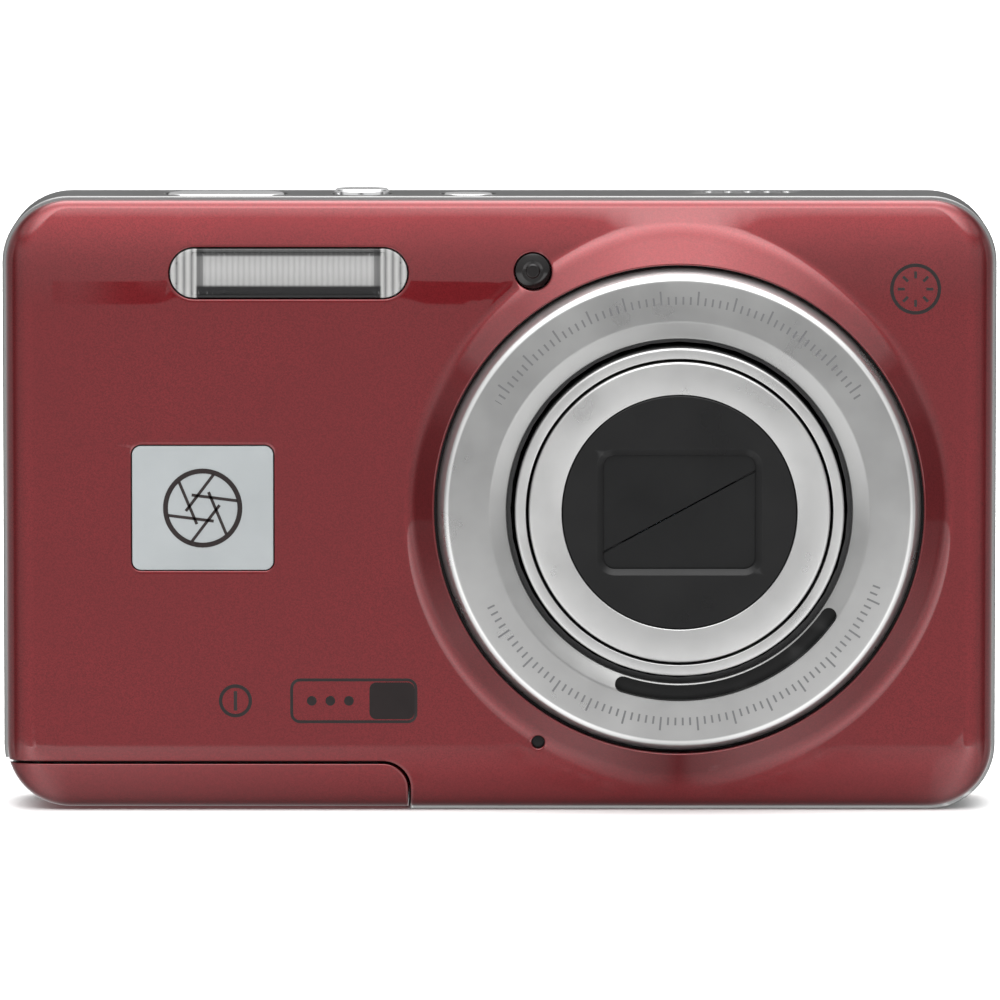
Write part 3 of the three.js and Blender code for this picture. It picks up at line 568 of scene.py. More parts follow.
# ---------------------------------------------------------------- materials
class Nodes:
    """Short forms for building a material's node tree."""

    def __init__(self, name):
        self.material = bpy.data.materials.new(name)
        self.material.use_nodes = True
        self.tree = self.material.node_tree
        self.tree.nodes.clear()
        self.shader = self.add("ShaderNodeBsdfPrincipled")
        output = self.add("ShaderNodeOutputMaterial")
        self.link(self.shader.outputs[0], output.inputs[0])
        self.coords = self.add("ShaderNodeTexCoord").outputs["Object"]

    def add(self, kind, **values):
        node = self.tree.nodes.new(kind)
        for key, value in values.items():
            setattr(node, key, value)
        return node

    def link(self, source, target):
        self.tree.links.new(source, target)

    def feed(self, socket, value):
        if isinstance(value, bpy.types.NodeSocket):
            self.link(value, socket)
        else:
            socket.default_value = value

    def set(self, **values):
        for key, value in values.items():
            self.feed(self.shader.inputs[key.replace("_", " ")], value)

    def math(self, operation, a, b=0.0, clamp=False):
        node = self.add("ShaderNodeMath", operation=operation, use_clamp=clamp)
        self.feed(node.inputs[0], a)
        self.feed(node.inputs[1], b)
        return node.outputs[0]

    def noise(self, scale, detail=3.0, roughness=0.55, coords=None):
        node = self.add("ShaderNodeTexNoise")
        self.link(coords or self.coords, node.inputs["Vector"])
        node.inputs["Scale"].default_value = scale
        node.inputs["Detail"].default_value = detail
        node.inputs["Roughness"].default_value = roughness
        return node.outputs["Fac"]

    def voronoi(self, scale, output="Distance", coords=None):
        node = self.add("ShaderNodeTexVoronoi")
        self.link(coords or self.coords, node.inputs["Vector"])
        node.inputs["Scale"].default_value = scale
        return node.outputs[output]

    def scaled(self, x, y, z):
        node = self.add("ShaderNodeMapping")
        node.inputs["Scale"].default_value = (x, y, z)
        self.link(self.coords, node.inputs["Vector"])
        return node.outputs[0]

    def span(self, value, low, high, out_low, out_high, smooth=False):
        node = self.add("ShaderNodeMapRange")
        node.interpolation_type = "SMOOTHSTEP" if smooth else "LINEAR"
        for i, v in enumerate((value, low, high, out_low, out_high)):
            self.feed(node.inputs[i], v)
        return node.outputs[0]

    def mix(self, factor, a, b):
        node = self.add("ShaderNodeMix", data_type="RGBA")
        self.feed(node.inputs[0], factor)
        for socket, value in ((node.inputs[6], a), (node.inputs[7], b)):
            self.feed(socket, (*value, 1.0) if isinstance(value, tuple) else value)
        return node.outputs[2]

    def bump(self, height, strength, distance, normal=None):
        node = self.add("ShaderNodeBump")
        node.inputs["Strength"].default_value = strength
        node.inputs["Distance"].default_value = distance
        self.link(height, node.inputs["Height"])
        if normal is not None:
            self.link(normal, node.inputs["Normal"])
        return node.outputs[0]

    def edges(self, low=0.52, high=0.6):
        """Bright on worn outer edges, from the geometry's pointiness."""
        return self.span(self.add("ShaderNodeNewGeometry").outputs["Pointiness"], low, high, 0.0, 1.0, True)

    def add_separate(self):
        node = self.add("ShaderNodeSeparateXYZ")
        self.link(self.coords, node.inputs[0])
        return node

    def polar(self, x, z):
        """Radius and angle, in millimetres and radians, about an axis along Y."""
        parts = self.add_separate()
        dx = self.math("SUBTRACT", self.math("MULTIPLY", parts.outputs["X"], 1 / MM), x)
        dz = self.math("SUBTRACT", self.math("MULTIPLY", parts.outputs["Z"], 1 / MM), z)
        squares = self.math("ADD", self.math("MULTIPLY", dx, dx), self.math("MULTIPLY", dz, dz))
        radius = self.math("SQRT", squares)
        return radius, self.math("ARCTAN2", dz, dx), parts


def red_paint():
    n = Nodes("red_paint")
    flakes = n.voronoi(9000.0, "Color")
    sparkle = n.add("ShaderNodeSeparateColor")
    n.link(flakes, sparkle.inputs[0])
    grain = sparkle.outputs[0]
    cloud = n.noise(90.0, 4.0)
    tone = n.mix(grain, (0.122, 0.0056, 0.0082), (0.181, 0.0094, 0.0134))
    tone = n.mix(n.span(cloud, 0.35, 0.7, 0.0, 0.3), tone, (0.128, 0.0062, 0.0092))
    worn = n.math("MULTIPLY", n.edges(0.56, 0.66), n.span(n.noise(700.0), 0.45, 0.62, 0.0, 0.35), True)
    tone = n.mix(worn, tone, (0.36, 0.14, 0.15))
    n.set(Base_Color=tone, Metallic=0.85, Roughness=n.span(n.noise(300.0), 0.3, 0.7, 0.34, 0.38))
    n.set(Coat_Weight=1.0, Coat_Roughness=0.035, Coat_IOR=1.5)
    fine = n.bump(n.noise(1600.0, 2.0), 0.04, 0.00002)
    n.set(Normal=n.bump(grain, 0.05, 0.00001, fine))
    return n.material


def silver_paint():
    n = Nodes("silver_paint")
    grain = n.noise(5200.0, 2.0)
    cloud = n.noise(60.0, 3.0)
    tone = n.mix(grain, (0.225, 0.225, 0.225), (0.28, 0.28, 0.278))
    tone = n.mix(n.span(cloud, 0.3, 0.7, 0.0, 0.25), tone, (0.205, 0.205, 0.208))
    tone = n.mix(n.edges(0.55, 0.65), tone, (0.46, 0.46, 0.46))
    n.set(Base_Color=tone, Metallic=1.0, Roughness=n.span(cloud, 0.3, 0.7, 0.34, 0.42))
    n.shader.inputs["Specular Tint"].default_value = (0.22, 0.22, 0.22, 1.0)
    n.set(Normal=n.bump(grain, 0.10, 0.00002))
    return n.material


def lens_metal(name, dark, light, marks=False):
    n = Nodes(name)
    radius, angle, parts = n.polar(LENS_X, LENS_Z)
    turning = n.math("SINE", n.math("MULTIPLY", radius, 95.0))
    rings = n.math("MULTIPLY", turning, n.noise(2600.0, 1.0))
    cloud = n.noise(140.0, 3.0)
    tone = n.mix(n.span(cloud, 0.3, 0.7, 0.0, 1.0), dark, light)
    rough = n.span(cloud, 0.3, 0.7, 0.26, 0.34)
    if marks:
        tone = n.mix(n.span(radius, 23.45, 23.6, 0.0, 1.0), tone, (0.66, 0.66, 0.657))
        tone, rough = tick_marks(n, radius, angle, parts, tone, rough)
    n.set(Base_Color=tone, Metallic=0.9, Roughness=rough)
    n.set(Normal=n.bump(rings, 0.06, 0.00002))
    return n.material


TICKS = 180  # strokes in a full turn, of which two arcs are drawn
TICK_INNER, TICK_OUTER, TICK_LONGER = 21.1, 21.9, 0.6
TICK_TOP, TICK_BASE = (0.55, 2.6), (-2.7, -0.35)  # angles of the two arcs
TICK_FACE = -0.0096  # in metres: strokes are on the ring's front face only


def tick_marks(n, radius, angle, parts, tone, rough):
    """Dark graduation strokes around the ring's face, in two arcs like a plain engraved scale."""
    turns = n.math("MULTIPLY", angle, TICKS / (2 * math.pi))
    fraction = n.math("ABSOLUTE", n.math("SUBTRACT", n.math("FRACT", turns), 0.5))
    stroke = n.math("LESS_THAN", fraction, 0.13)
    fifth = n.math("ABSOLUTE", n.math("SUBTRACT", n.math("FRACT", n.math("DIVIDE", turns, 5.0)), 0.5))
    longer = n.math("LESS_THAN", fifth, 0.1)
    outer = n.math("ADD", TICK_OUTER, n.math("MULTIPLY", longer, TICK_LONGER))
    band = n.math("MULTIPLY", n.math("GREATER_THAN", radius, TICK_INNER), n.math("LESS_THAN", radius, outer))
    top, base = (
        n.math("MULTIPLY", n.math("GREATER_THAN", angle, first), n.math("LESS_THAN", angle, last))
        for first, last in (TICK_TOP, TICK_BASE)
    )
    front = n.math("LESS_THAN", parts.outputs["Y"], TICK_FACE)
    strokes = n.math("MULTIPLY", stroke, band)
    arcs = n.math("MULTIPLY", n.math("ADD", top, base), front)
    mask = n.math("MULTIPLY", strokes, arcs)
    tone = n.mix(mask, tone, (0.16, 0.16, 0.165))
    return tone, n.math("ADD", rough, n.math("MULTIPLY", mask, 0.2))


def chrome():
    n = Nodes("chrome")
    smear = n.noise(900.0, 4.0)
    n.set(Base_Color=n.mix(smear, (0.80, 0.80, 0.81), (0.90, 0.90, 0.90)), Metallic=1.0)
    n.set(Roughness=n.span(smear, 0.35, 0.7, 0.06, 0.13), Normal=n.bump(smear, 0.02, 0.00001))
    return n.material


def steel():
    n = Nodes("steel")
    brushed = n.noise(1.0, 3.0, 0.6, n.scaled(9000.0, 500.0, 500.0))
    n.set(Base_Color=n.mix(brushed, (0.42, 0.43, 0.44), (0.58, 0.58, 0.59)), Metallic=1.0)
    n.set(Roughness=n.span(brushed, 0.3, 0.7, 0.22, 0.36), Normal=n.bump(brushed, 0.08, 0.00002))
    return n.material


def plastic(name, dark, light, rough, grain=4200.0, strength=0.12, coat=0.0, specular=0.5):
    n = Nodes(name)
    cells = n.voronoi(grain)
    cloud = n.noise(120.0, 3.0)
    tone = n.mix(n.span(cloud, 0.3, 0.7, 0.0, 1.0), dark, light)
    worn = n.math("MULTIPLY", n.edges(0.55, 0.66), 0.35)
    tone = n.mix(worn, tone, tuple(min(1.0, 2.2 * c + 0.03) for c in light))
    n.set(Base_Color=tone, Roughness=n.span(cloud, 0.3, 0.7, rough - 0.04, rough + 0.05))
    n.set(Normal=n.bump(cells, strength, 0.00003), Coat_Weight=coat, Coat_Roughness=0.05)
    n.set(Specular_IOR_Level=specular)
    return n.material


def clear(name, tint, rough, alpha):
    n = Nodes(name)
    haze = n.noise(400.0, 3.0)
    n.set(Base_Color=n.mix(haze, tint, tuple(0.94 * c for c in tint)), Alpha=alpha)
    n.set(Roughness=n.span(haze, 0.3, 0.7, rough, rough + 0.05), Normal=n.bump(haze, 0.02, 0.00001))
    n.set(Coat_Weight=0.6, Coat_Roughness=0.03, IOR=1.5)
    return n.material


def circuit_board():
    n = Nodes("circuit_board")
    tracks = n.math("LESS_THAN", n.voronoi(700.0, "Distance"), 0.28)
    tone = n.mix(tracks, (0.012, 0.10, 0.045), (0.03, 0.20, 0.09))
    n.set(Base_Color=tone, Roughness=n.span(n.noise(300.0), 0.3, 0.7, 0.3, 0.42))
    n.set(Normal=n.bump(tracks, 0.2, 0.00003))
    return n.material


M = {
    "red_paint": red_paint(),
    "silver_paint": silver_paint(),
    "lens_metal": lens_metal("lens_metal", (0.42, 0.42, 0.417), (0.475, 0.475, 0.472)),
    "bezel_metal": lens_metal("bezel_metal", (0.275, 0.275, 0.273), (0.325, 0.325, 0.322), True),
    "chrome": chrome(),
    "steel": steel(),
    "clear_plastic": clear("clear_plastic", (0.30, 0.31, 0.31), 0.10, 0.8),
    "lens_glass": clear("lens_glass", (0.10, 0.13, 0.17), 0.03, 0.6),
    "circuit_board": circuit_board(),
}
# Dark and light tone and roughness, then grain, bump strength, coat and specular level where they differ.
PLASTICS = {
    "black_plastic": ((0.018, 0.018, 0.019), (0.026, 0.026, 0.027), 0.42),
    "front_plate_black": ((0.004, 0.004, 0.0042), (0.0055, 0.0055, 0.0057), 0.30, 9000.0, 0.04, 0.0, 0.22),
    "blade_black": ((0.0035, 0.0036, 0.0038), (0.005, 0.0051, 0.0053), 0.33, 9000.0, 0.04, 0.0, 0.2),
    "screen_glass": ((0.006, 0.007, 0.009), (0.008, 0.009, 0.012), 0.07, 900.0, 0.005, 1.0),
    "lamp_plastic": ((0.004, 0.004, 0.004), (0.007, 0.005, 0.005), 0.15, 5000.0, 0.03, 0.15, 0.3),
    "badge_plate": ((0.245, 0.262, 0.267), (0.272, 0.290, 0.295), 0.32, 8000.0, 0.05),
    "battery_wrap": ((0.03, 0.03, 0.034), (0.045, 0.045, 0.05), 0.38, 6000.0, 0.05),
    "rubber": ((0.030, 0.030, 0.031), (0.042, 0.042, 0.043), 0.62, 5200.0, 0.25),
    "print": ((0.006, 0.004, 0.004), (0.010, 0.006, 0.006), 0.4, 6000.0, 0.03, 0.0, 0.15),
    "white_print": ((0.62, 0.62, 0.62), (0.70, 0.70, 0.70), 0.5, 6000.0, 0.03),
}
M.update({name: plastic(name, *values) for name, values in PLASTICS.items()})

SLOT_OF = {part["node"]: part["material_slot"] for part in frame["record"]["subparts"]}
for name, node in frame["nodes"].items():
    node.data.materials.clear()
    node.data.materials.append(M[SLOT_OF[name]])


# ---------------------------------------------------------------- outlines of the openings
def hole_of(node, grow, radius, steps=10):
    _, _, centre, size = extent(node)
    size = size + 2 * grow
    return Rounded(centre[0], centre[2], size[0], size[2], radius + grow, steps)


FLASH = hole_of("flash_window", 0.0, 2.49, 14)
BADGE = hole_of("front_badge", 0.0, 0.9, 8)
LAMP_X, _, LAMP_Z = middle("focus_lamp_window")
MIC_X, _, MIC_Z = middle("microphone")
DOOR_REACH = 60.0  # the door's outline runs this far beyond its seam
FLASH_END = 2.7  # width of the coarse ribs at each end of the flash window
FINE_PITCH, COARSE_PITCH = 0.57, 0.76
DOOR_SIZE = 2 * DOOR_REACH
DOOR = Rounded(DOOR_RIGHT - DOOR_REACH, DOOR_TOP - DOOR_REACH, DOOR_SIZE, DOOR_SIZE, DOOR_CORNER, 10)


def door_path(grow):
    """The door's seam from beyond the left side, round its corner, to below the base."""
    x, z = DOOR_RIGHT - DOOR_CORNER, DOOR_TOP - DOOR_CORNER
    corner = [polar(x, z, DOOR_CORNER + grow, a) for a in np.linspace(0, math.pi / 2, 12)]
    straight = [(x, DOOR_TOP + grow) for x in np.arange(corner[-1][0] - 2, -HALF_WIDTH - 2, -2.0)]
    return [(DOOR_RIGHT + grow, -2.0)] + [tuple(map(float, p)) for p in corner + straight]


def flash_lens():
    """Frosted ribs with the lit reflector behind them painted into the colour: fine in the middle, coarse at
    both ends, painted shade below and at the end walls, and a painted glow along the tube.
    """
    n = Nodes("flash_lens")
    parts = n.add_separate()
    x = n.math("SUBTRACT", n.math("MULTIPLY", parts.outputs["X"], 1 / MM), FLASH.x)
    z = n.math("SUBTRACT", n.math("MULTIPLY", parts.outputs["Z"], 1 / MM), FLASH.z)
    end = FLASH.width / 2 - FLASH_END

    def ribs(pitch):
        return n.math("ABSOLUTE", n.math("SINE", n.math("MULTIPLY", x, math.pi / pitch)))

    # Painted light: a band where the reflector behind the ribs is lit, with painted shade below it and dimmer
    # towards the top.
    lit = n.math("MULTIPLY", n.span(z, -1.45, -1.1, 0.0, 1.0, True), n.span(z, 1.6, 1.9, 1.0, 0.15, True))
    after = n.span(x, -end - 0.1, -end + 0.1, 0.0, 1.0)
    centre = n.math("MULTIPLY", after, n.span(x, end - 0.1, end + 0.1, 1.0, 0.0))
    # Painted glow along the flash tube: the colour is lightest at the tube's height and dims away from it.
    tube = n.span(n.math("ABSOLUTE", n.math("SUBTRACT", z, 0.4)), 0.0, 1.6, 0.0, 0.35, True)
    painted_tube_glow = n.mix(tube, (0.30, 0.30, 0.297), (0.20, 0.20, 0.198))
    # Painted rib shading: each rib's colour runs from dark to light across it, as light would fall on it.
    fine = n.mix(ribs(FINE_PITCH), n.mix(0.25, painted_tube_glow, (0.1, 0.1, 0.1)), painted_tube_glow)
    coarse = n.mix(ribs(COARSE_PITCH), (0.12, 0.12, 0.12), (0.32, 0.32, 0.315))
    off = n.math("ABSOLUTE", n.math("SUBTRACT", n.math("ABSOLUTE", x), end - 0.35))
    # Painted shade where the reflector's end walls stand.
    wall = n.span(off, 0.25, 0.45, 0.35, 1.0, True)
    # Near black wherever the painted light band and the end walls leave the reflector in painted shade.
    painted_reflector_light = n.mix(n.math("MULTIPLY", lit, wall), (0.012, 0.012, 0.0125), fine)
    tone = n.mix(centre, coarse, painted_reflector_light)
    n.set(Base_Color=tone, Roughness=n.span(n.noise(400.0), 0.3, 0.7, 0.16, 0.22), Alpha=0.96)
    n.set(Normal=n.bump(n.noise(2400.0), 0.05, 0.00001), Coat_Weight=0.2, Coat_Roughness=0.04)
    n.set(Specular_IOR_Level=0.2)
    return n.material


M["flash_lens"] = flash_lens()


# ---------------------------------------------------------------- body shells
BODY_EDGE = 0.16  # rounding at the openings of the front cover, the frame and the door


def front_cover():
    holes = [
        FLASH.grown(0.12),
        BADGE.grown(0.08),
        Round(LAMP_X, LAMP_Z, 1.92, 10),
        Round(MIC_X, MIC_Z, 0.65, 6),
    ]
    roll = Roll(FACE_Y, 1, FRONT_ROLL, True)
    paths = [door_path(SEAM + offset) for offset in bevel_offsets(BODY_EDGE) + [CONFINE * BODY_EDGE]]

    def beyond(x, z):
        return DOOR.distance(x, z) - SEAM

    shape = cover(roll, holes, BODY_EDGE, FRONT_SPLIT, paths, beyond, collar=True)
    piece("front_cover_skin", shape, "camera_body", "front_cover", "red_paint")


front_cover()


def rear_openings():
    _, _, pad, pad_size = extent("dpad_ring")
    _, _, rocker, rocker_size = extent("zoom_rocker")
    _, _, glass, glass_size = extent("screen_glass")
    openings = [
        Rounded(glass[0], glass[2], glass_size[0] + 0.24, glass_size[2] + 0.24, 1.62, 8),
        Round(pad[0], pad[2], pad_size[0] / 2 + 0.28, 16),
        Rounded(rocker[0], rocker[2], rocker_size[0] + 0.6, rocker_size[2] + 0.6, 2.6, 8),
    ]
    for key in REAR_KEYS:
        x, _, z = middle(key)
        openings.append(Round(x, z, REAR_KEY_RADIUS + 0.15, 10))
    openings.append(Round(*STATUS_LAMP, 0.6, 5))
    return openings


REAR_KEYS = ("movie_button", "menu_button", "playback_button", "delete_button")
REAR_KEY_RADIUS = 2.7
STATUS_LAMP = (-17.5, 57.2)
REAR_EDGE = 0.14


def rear_cover():
    shape = cover(Roll(BACK_Y, -1, REAR_ROLL), rear_openings(), REAR_EDGE, REAR_SPLIT)
    piece("rear_cover_skin", shape, "camera_body", "rear_cover", "red_paint")


def thumb_grip():
    """Rows of low domes for the thumb, on the rear cover's upper right as held."""
    radius, height, sunk = 0.45, 0.24, 0.03
    dome = [(radius * math.cos(a), BACK_Y - sunk + height * math.sin(a)) for a in np.linspace(0, 1.45, 6)]
    parts = []
    for row in range(4):
        odd = row % 2
        for column in range(3 if odd else 4):
            x, z = -47.2 + row * 1.5, 33.6 + column * 1.7 + (0.85 if odd else 0.0)
            parts.append(turned(x, z, dome, "+y", 20))
    piece("thumb_grip", joined(*parts), "camera_body", None, "red_paint")


# ---------------------------------------------------------------- mid frame, unrolled into (distance, y)
class Band:
    """The body's outline as a distance run from the middle of the top, clockwise as seen from the front."""

    def __init__(self, inset):
        self.inset = inset
        self.radius = CORNER - inset
        self.x, self.top, self.low = HALF_WIDTH - CORNER, HEIGHT - CORNER, CORNER
        arc = self.radius * math.pi / 2
        side = self.top - self.low
        self.lengths = [self.x, arc, side, arc, 2 * self.x, arc, side, arc, self.x]
        self.starts = np.concatenate([[0], np.cumsum(self.lengths)])
        self.total = self.starts[-1]

    def at(self, s):
        """Points (x, z) and outward directions at distances s."""
        s = np.clip(s, 0, self.total)
        k = np.clip(np.searchsorted(self.starts, s, "right") - 1, 0, 8)
        u = s - self.starts[k]
        x, z, ox, oz = (np.zeros_like(s) for _ in range(4))
        corners = {
            1: (self.x, self.top, 90),
            3: (self.x, self.low, 0),
            5: (-self.x, self.low, -90),
            7: (-self.x, self.top, 180),
        }
        edge = HALF_WIDTH - self.inset
        straights = {
            0: lambda u: (u, HEIGHT - self.inset + 0 * u, 0, 1),
            2: lambda u: (edge + 0 * u, self.top - u, 1, 0),
            4: lambda u: (self.x - u, self.inset + 0 * u, 0, -1),
            6: lambda u: (-edge + 0 * u, self.low + u, -1, 0),
            8: lambda u: (-self.x + u, HEIGHT - self.inset + 0 * u, 0, 1),
        }
        for i in range(9):
            m = k == i
            if i in corners:
                cx, cz, first = corners[i]
                a = np.radians(first) - u[m] / self.radius
                ox[m], oz[m] = np.cos(a), np.sin(a)
                x[m], z[m] = cx + self.radius * ox[m], cz + self.radius * oz[m]
            else:
                px, pz, qx, qz = straights[i](u[m])
                x[m], z[m], ox[m], oz[m] = px, pz, qx, qz
        return x, z, ox, oz

    def top_distance(self, x):
        return x if x >= 0 else self.total + x

    def right_distance(self, z):
        return self.starts[2] + self.top - z

    def base_distance(self, x):
        return self.starts[4] + self.x - x

    def left_distance(self, z):
        return self.starts[6] + z - self.low


TOP_KEYS = ("shutter_button", "power_button", "mode_button")
KEY_FLANGE = 0.8


def top_key_outline(key, grow):
    low, high = box(key)
    cx, cy, _ = (low + high) / 2
    width, depth = (high - low)[:2] - 2 * KEY_FLANGE
    return Rounded(cx, cy, width + 2 * grow, depth + 2 * grow, depth * 0.42 + grow, 8)


SCREWS = ("screw_base_right", "screw_base_middle", "screw_right_upper", "screw_left_upper")


FRAME_SPACING = 2.4  # distance between points along the frame's outline
FRAME_ROWS = 1.3
DOOR_STRIP = 6.2  # the door takes the frame's base back to here
HINGE_LUGS = (-43.2, -14.9)
LUG_WIDTH = 1.4
LUG_BORE = 0.48
DOOR_SLIDE = 2.5
LUG_PLAY = 0.3


def frame_holes(band):
    """Openings for keys, speaker, USB cover, strap eyelet, tripod bush and screws."""
    holes = []
    for key in TOP_KEYS:
        o = top_key_outline(key, 0.2)
        holes.append(Rounded(band.top_distance(o.x), o.z, o.width, o.height, o.radius, 8))
    for column in range(5):
        for row in range(2):
            holes.append(Round(band.top_distance(21.4 + column * 2.0), 2.6 + row * 1.8, 0.45, 5))
    _, _, usb, size = extent("usb_cover")
    holes.append(Rounded(band.right_distance(usb[2]), usb[1], size[2] + 0.4, size[1] + 0.4, 2.2, 8))
    _, _, strap, size = extent("strap_eyelet")
    holes.append(Rounded(band.left_distance(strap[2]), strap[1], size[2] + 0.3, size[1] + 0.3, 1.75, 8))
    _, _, bush, size = extent("tripod_bush")
    holes.append(Round(band.base_distance(bush[0]), bush[1], size[0] / 2 + 0.15, 14))
    for screw in SCREWS:
        c = middle(screw)
        if "base" in screw:
            s = band.base_distance(c[0])
        else:
            s = band.right_distance(c[2]) if c[0] > 0 else band.left_distance(c[2])
        holes.append(Round(s, c[1], 1.5, 7))
    door_from = band.base_distance(DOOR_RIGHT + SEAM)
    door_to = band.left_distance(DOOR_TOP + SEAM)
    holes.append(Rounded((door_from + door_to) / 2, DOOR_STRIP - 20, door_to - door_from, 40, 0.05, 1))
    return holes


def mid_frame():
    band = Band(0.0)
    edge = BODY_EDGE
    front_y, rear_y = FRAME_LOW[1], FRAME_HIGH[1]
    holes = frame_holes(band)
    loops, points = [], []
    stops = list(np.arange(0, band.total, FRAME_SPACING)) + [band.total]
    for k in (1, 3, 5, 7):
        stops += list(np.linspace(band.starts[k], band.starts[k + 1], 19))
    stops = sorted(set(round(float(v), 4) for v in stops))
    for y_edge, sign in ((front_y, 1), (rear_y, -1)):
        for offset in bevel_offsets(edge) + [2 * edge]:
            loops.append(([(v, y_edge + sign * offset) for v in stops], False))
    for v in stops:
        for y in np.arange(front_y + 1.2, rear_y - 0.6, FRAME_ROWS):
            here = np.array([v]), np.array([float(y)])
            on_end = v in (stops[0], stops[-1])
            if on_end or all(h.distance(*here)[0] > 0.5 for h in holes):
                points.append((v, float(y)))
    ys = [p[1] for p in points if p[0] == 0]
    for v in (0.0, float(stops[-1])):
        loops.append(([(v, y) for y in sorted([front_y, rear_y] + ys)], False))
    for h in holes:
        for offset in bevel_offsets(edge, 3) + [CONFINE * edge]:
            loops.append((h.loop(offset), True))

    def keep(u, v):
        kept = (u > 0) & (u < stops[-1]) & (v > front_y) & (v < rear_y)
        for h in holes:
            kept &= h.distance(u, v) > 0
        return kept

    uv, tris = triangulate(loops, points, keep)
    u, v = uv[:, 0], uv[:, 1]
    x, z, ox, oz = band.at(u)
    drop = np.maximum(bevel(np.maximum(v - front_y, 0), edge), bevel(np.maximum(rear_y - v, 0), edge))
    for h in holes:
        drop = np.maximum(drop, bevel(np.maximum(h.distance(u, v), 0), edge))
    front = np.stack([x - ox * drop, v, z - oz * drop], 1)
    depth = WALL + INSET
    back = np.stack([x - ox * depth, v, z - oz * depth], 1)
    seam = (u < 1e-5) | (u > stops[-1] - 1e-5)
    edges = [e for e in boundary(tris) if not (seam[e[0]] and seam[e[1]])]
    count = len(front)
    faces = [tuple(int(i) for i in t) for t in tris]
    faces += [tuple(int(i) + count for i in t[::-1]) for t in tris]
    faces += [(int(a), int(a) + count, int(b) + count, int(b)) for a, b in edges]
    parts = [([tuple(p) for p in front] + [tuple(p) for p in back], faces)]
    parts += [hinge_lug(x, x + LUG_WIDTH) for x in HINGE_LUGS]
    piece("mid_frame_band", joined(*parts), "camera_body", "mid_frame", "silver_paint")


def hinge_lug(x0, x1):
    """A small ear with the hinge pin's hole through it."""
    y0, y1, z0, z1 = HINGE_Y - 1.0, 6.3, 0.45, 2.1
    steps = 32
    outer = []
    for i in range(steps):
        a = 2 * math.pi * i / steps
        c, d = math.cos(a), math.sin(a)
        reach = min(
            ((y1 if c > 0 else y0) - HINGE_Y) / c if abs(c) > 1e-6 else 9,
            ((z1 if d > 0 else z0) - HINGE_Z) / d if abs(d) > 1e-6 else 9,
        )
        outer.append((HINGE_Y + reach * c, HINGE_Z + reach * d))
    inner = circle(HINGE_Y, HINGE_Z, LUG_BORE, steps)
    return tube([(outer, x0), (outer, x1), (inner, x1), (inner, x0)], "+x")


def battery_door():
    """The door takes the front cover's lower left corner and the base behind it, back to its hinge."""
    paths = [door_path(-offset) for offset in bevel_offsets(BODY_EDGE) + [CONFINE * BODY_EDGE]]

    def inside(x, z):
        return -DOOR.distance(x, z)

    roll = Roll(FACE_Y, 1, FRONT_ROLL)
    shape = cover(roll, [], BODY_EDGE, DOOR_REAR, paths, inside, end_round=0.3, ceiling=DOOR_TOP)
    door = piece("battery_door_skin", shape, "door", "battery_door", "red_paint")
    cut_with(door, [lug_cylinder("knuckle", -38.8, -15.6, 0.85)], "UNION")
    far = LUG_WIDTH + DOOR_SLIDE + LUG_PLAY  # the notches leave room for the door's slide past the lugs
    notches = [lug_cylinder("notch", x - LUG_PLAY, x + far, 1.55) for x in HINGE_LUGS]
    cut_with(door, notches + [lug_cylinder("bore", -60, 0, LUG_BORE)])


def seam_shade_rib():
    """A black rib behind the upright end of the door's seam: painted shade, so the gap there looks dark."""
    rib = solid(Rounded(DOOR_RIGHT + 0.34, 1.2, 0.6, 2.1, 0.1, 3), [(0, -5.0), (0, 1.5)], "-y")
    piece("seam_shade_rib", rib, "camera_body", None, "front_plate_black")


def lug_cylinder(name, x0, x1, radius):
    return piece(name, turned(HINGE_Y, HINGE_Z, [(radius, x0), (radius, x1)], "+x", 40))


rear_cover()
thumb_grip()
mid_frame()
battery_door()
seam_shade_rib()

# ---------------------------------------------------------------- lens
SLOT_RADIUS, SLOT_HALF = 18.6, 0.8  # middle radius and half width of the slot in the bezel
SLOT_START, SLOT_END = math.radians(-108), math.radians(-35)
SLOT_STEPS = 48


def lens_lathe(profile, segments=160, radius=0.15):
    return lathe(profile, LENS_X, LENS_Z, segments, radius)


def slot_loop():
    """The curved slot's outline with round ends."""
    outer, inner = SLOT_RADIUS + SLOT_HALF, SLOT_RADIUS - SLOT_HALF
    loop = [polar(LENS_X, LENS_Z, outer, a) for a in np.linspace(SLOT_START, SLOT_END, SLOT_STEPS)]
    for centre, first in ((SLOT_END, SLOT_END), (SLOT_START, SLOT_START + math.pi)):
        cx, cz = polar(LENS_X, LENS_Z, SLOT_RADIUS, centre)
        loop += [polar(cx, cz, SLOT_HALF, first + math.pi * k / 9) for k in range(1, 9)]
        if centre == SLOT_END:
            loop += [polar(LENS_X, LENS_Z, inner, a) for a in np.linspace(SLOT_END, SLOT_START, SLOT_STEPS)]
    return loop


def bezel():
    front = box("lens_bezel")[0][1]
    profile = [
        (24.7, front + 3.6), (24.7, front + 2.7), (24.0, front + 0.55, 0.5), (23.55, front + 0.32, 0.3),
        (19.35, front, 0.18), (17.6, front + 0.5, 0.12), (17.6, front + 1.6), (19.2, front + 1.6),
        (23.0, front + 1.9), (23.4, front + 3.6),
    ]
    shape, slot = lens_lathe(profile, 200), SLOT_OF["lens_bezel"]
    ring = piece("lens_bezel_ring", shape, "camera_body", "lens_bezel", "bezel_metal")
    loop = slot_loop()
    cut_with(ring, [piece("slot_cutter", stack([(loop, -(front - 2)), (loop, -(front + 2.2))], "-y"))])
    # Painted shade: a near-black ring behind the cut-through slot stands in for the shade inside it.
    near, far = front + 1.65, front + 1.9
    floor = lens_lathe([(17.7, near), (19.5, near), (19.5, far), (17.7, far)], 120, 0.02)
    piece("slot_shade_floor", floor, "camera_body", None, "front_plate_black")


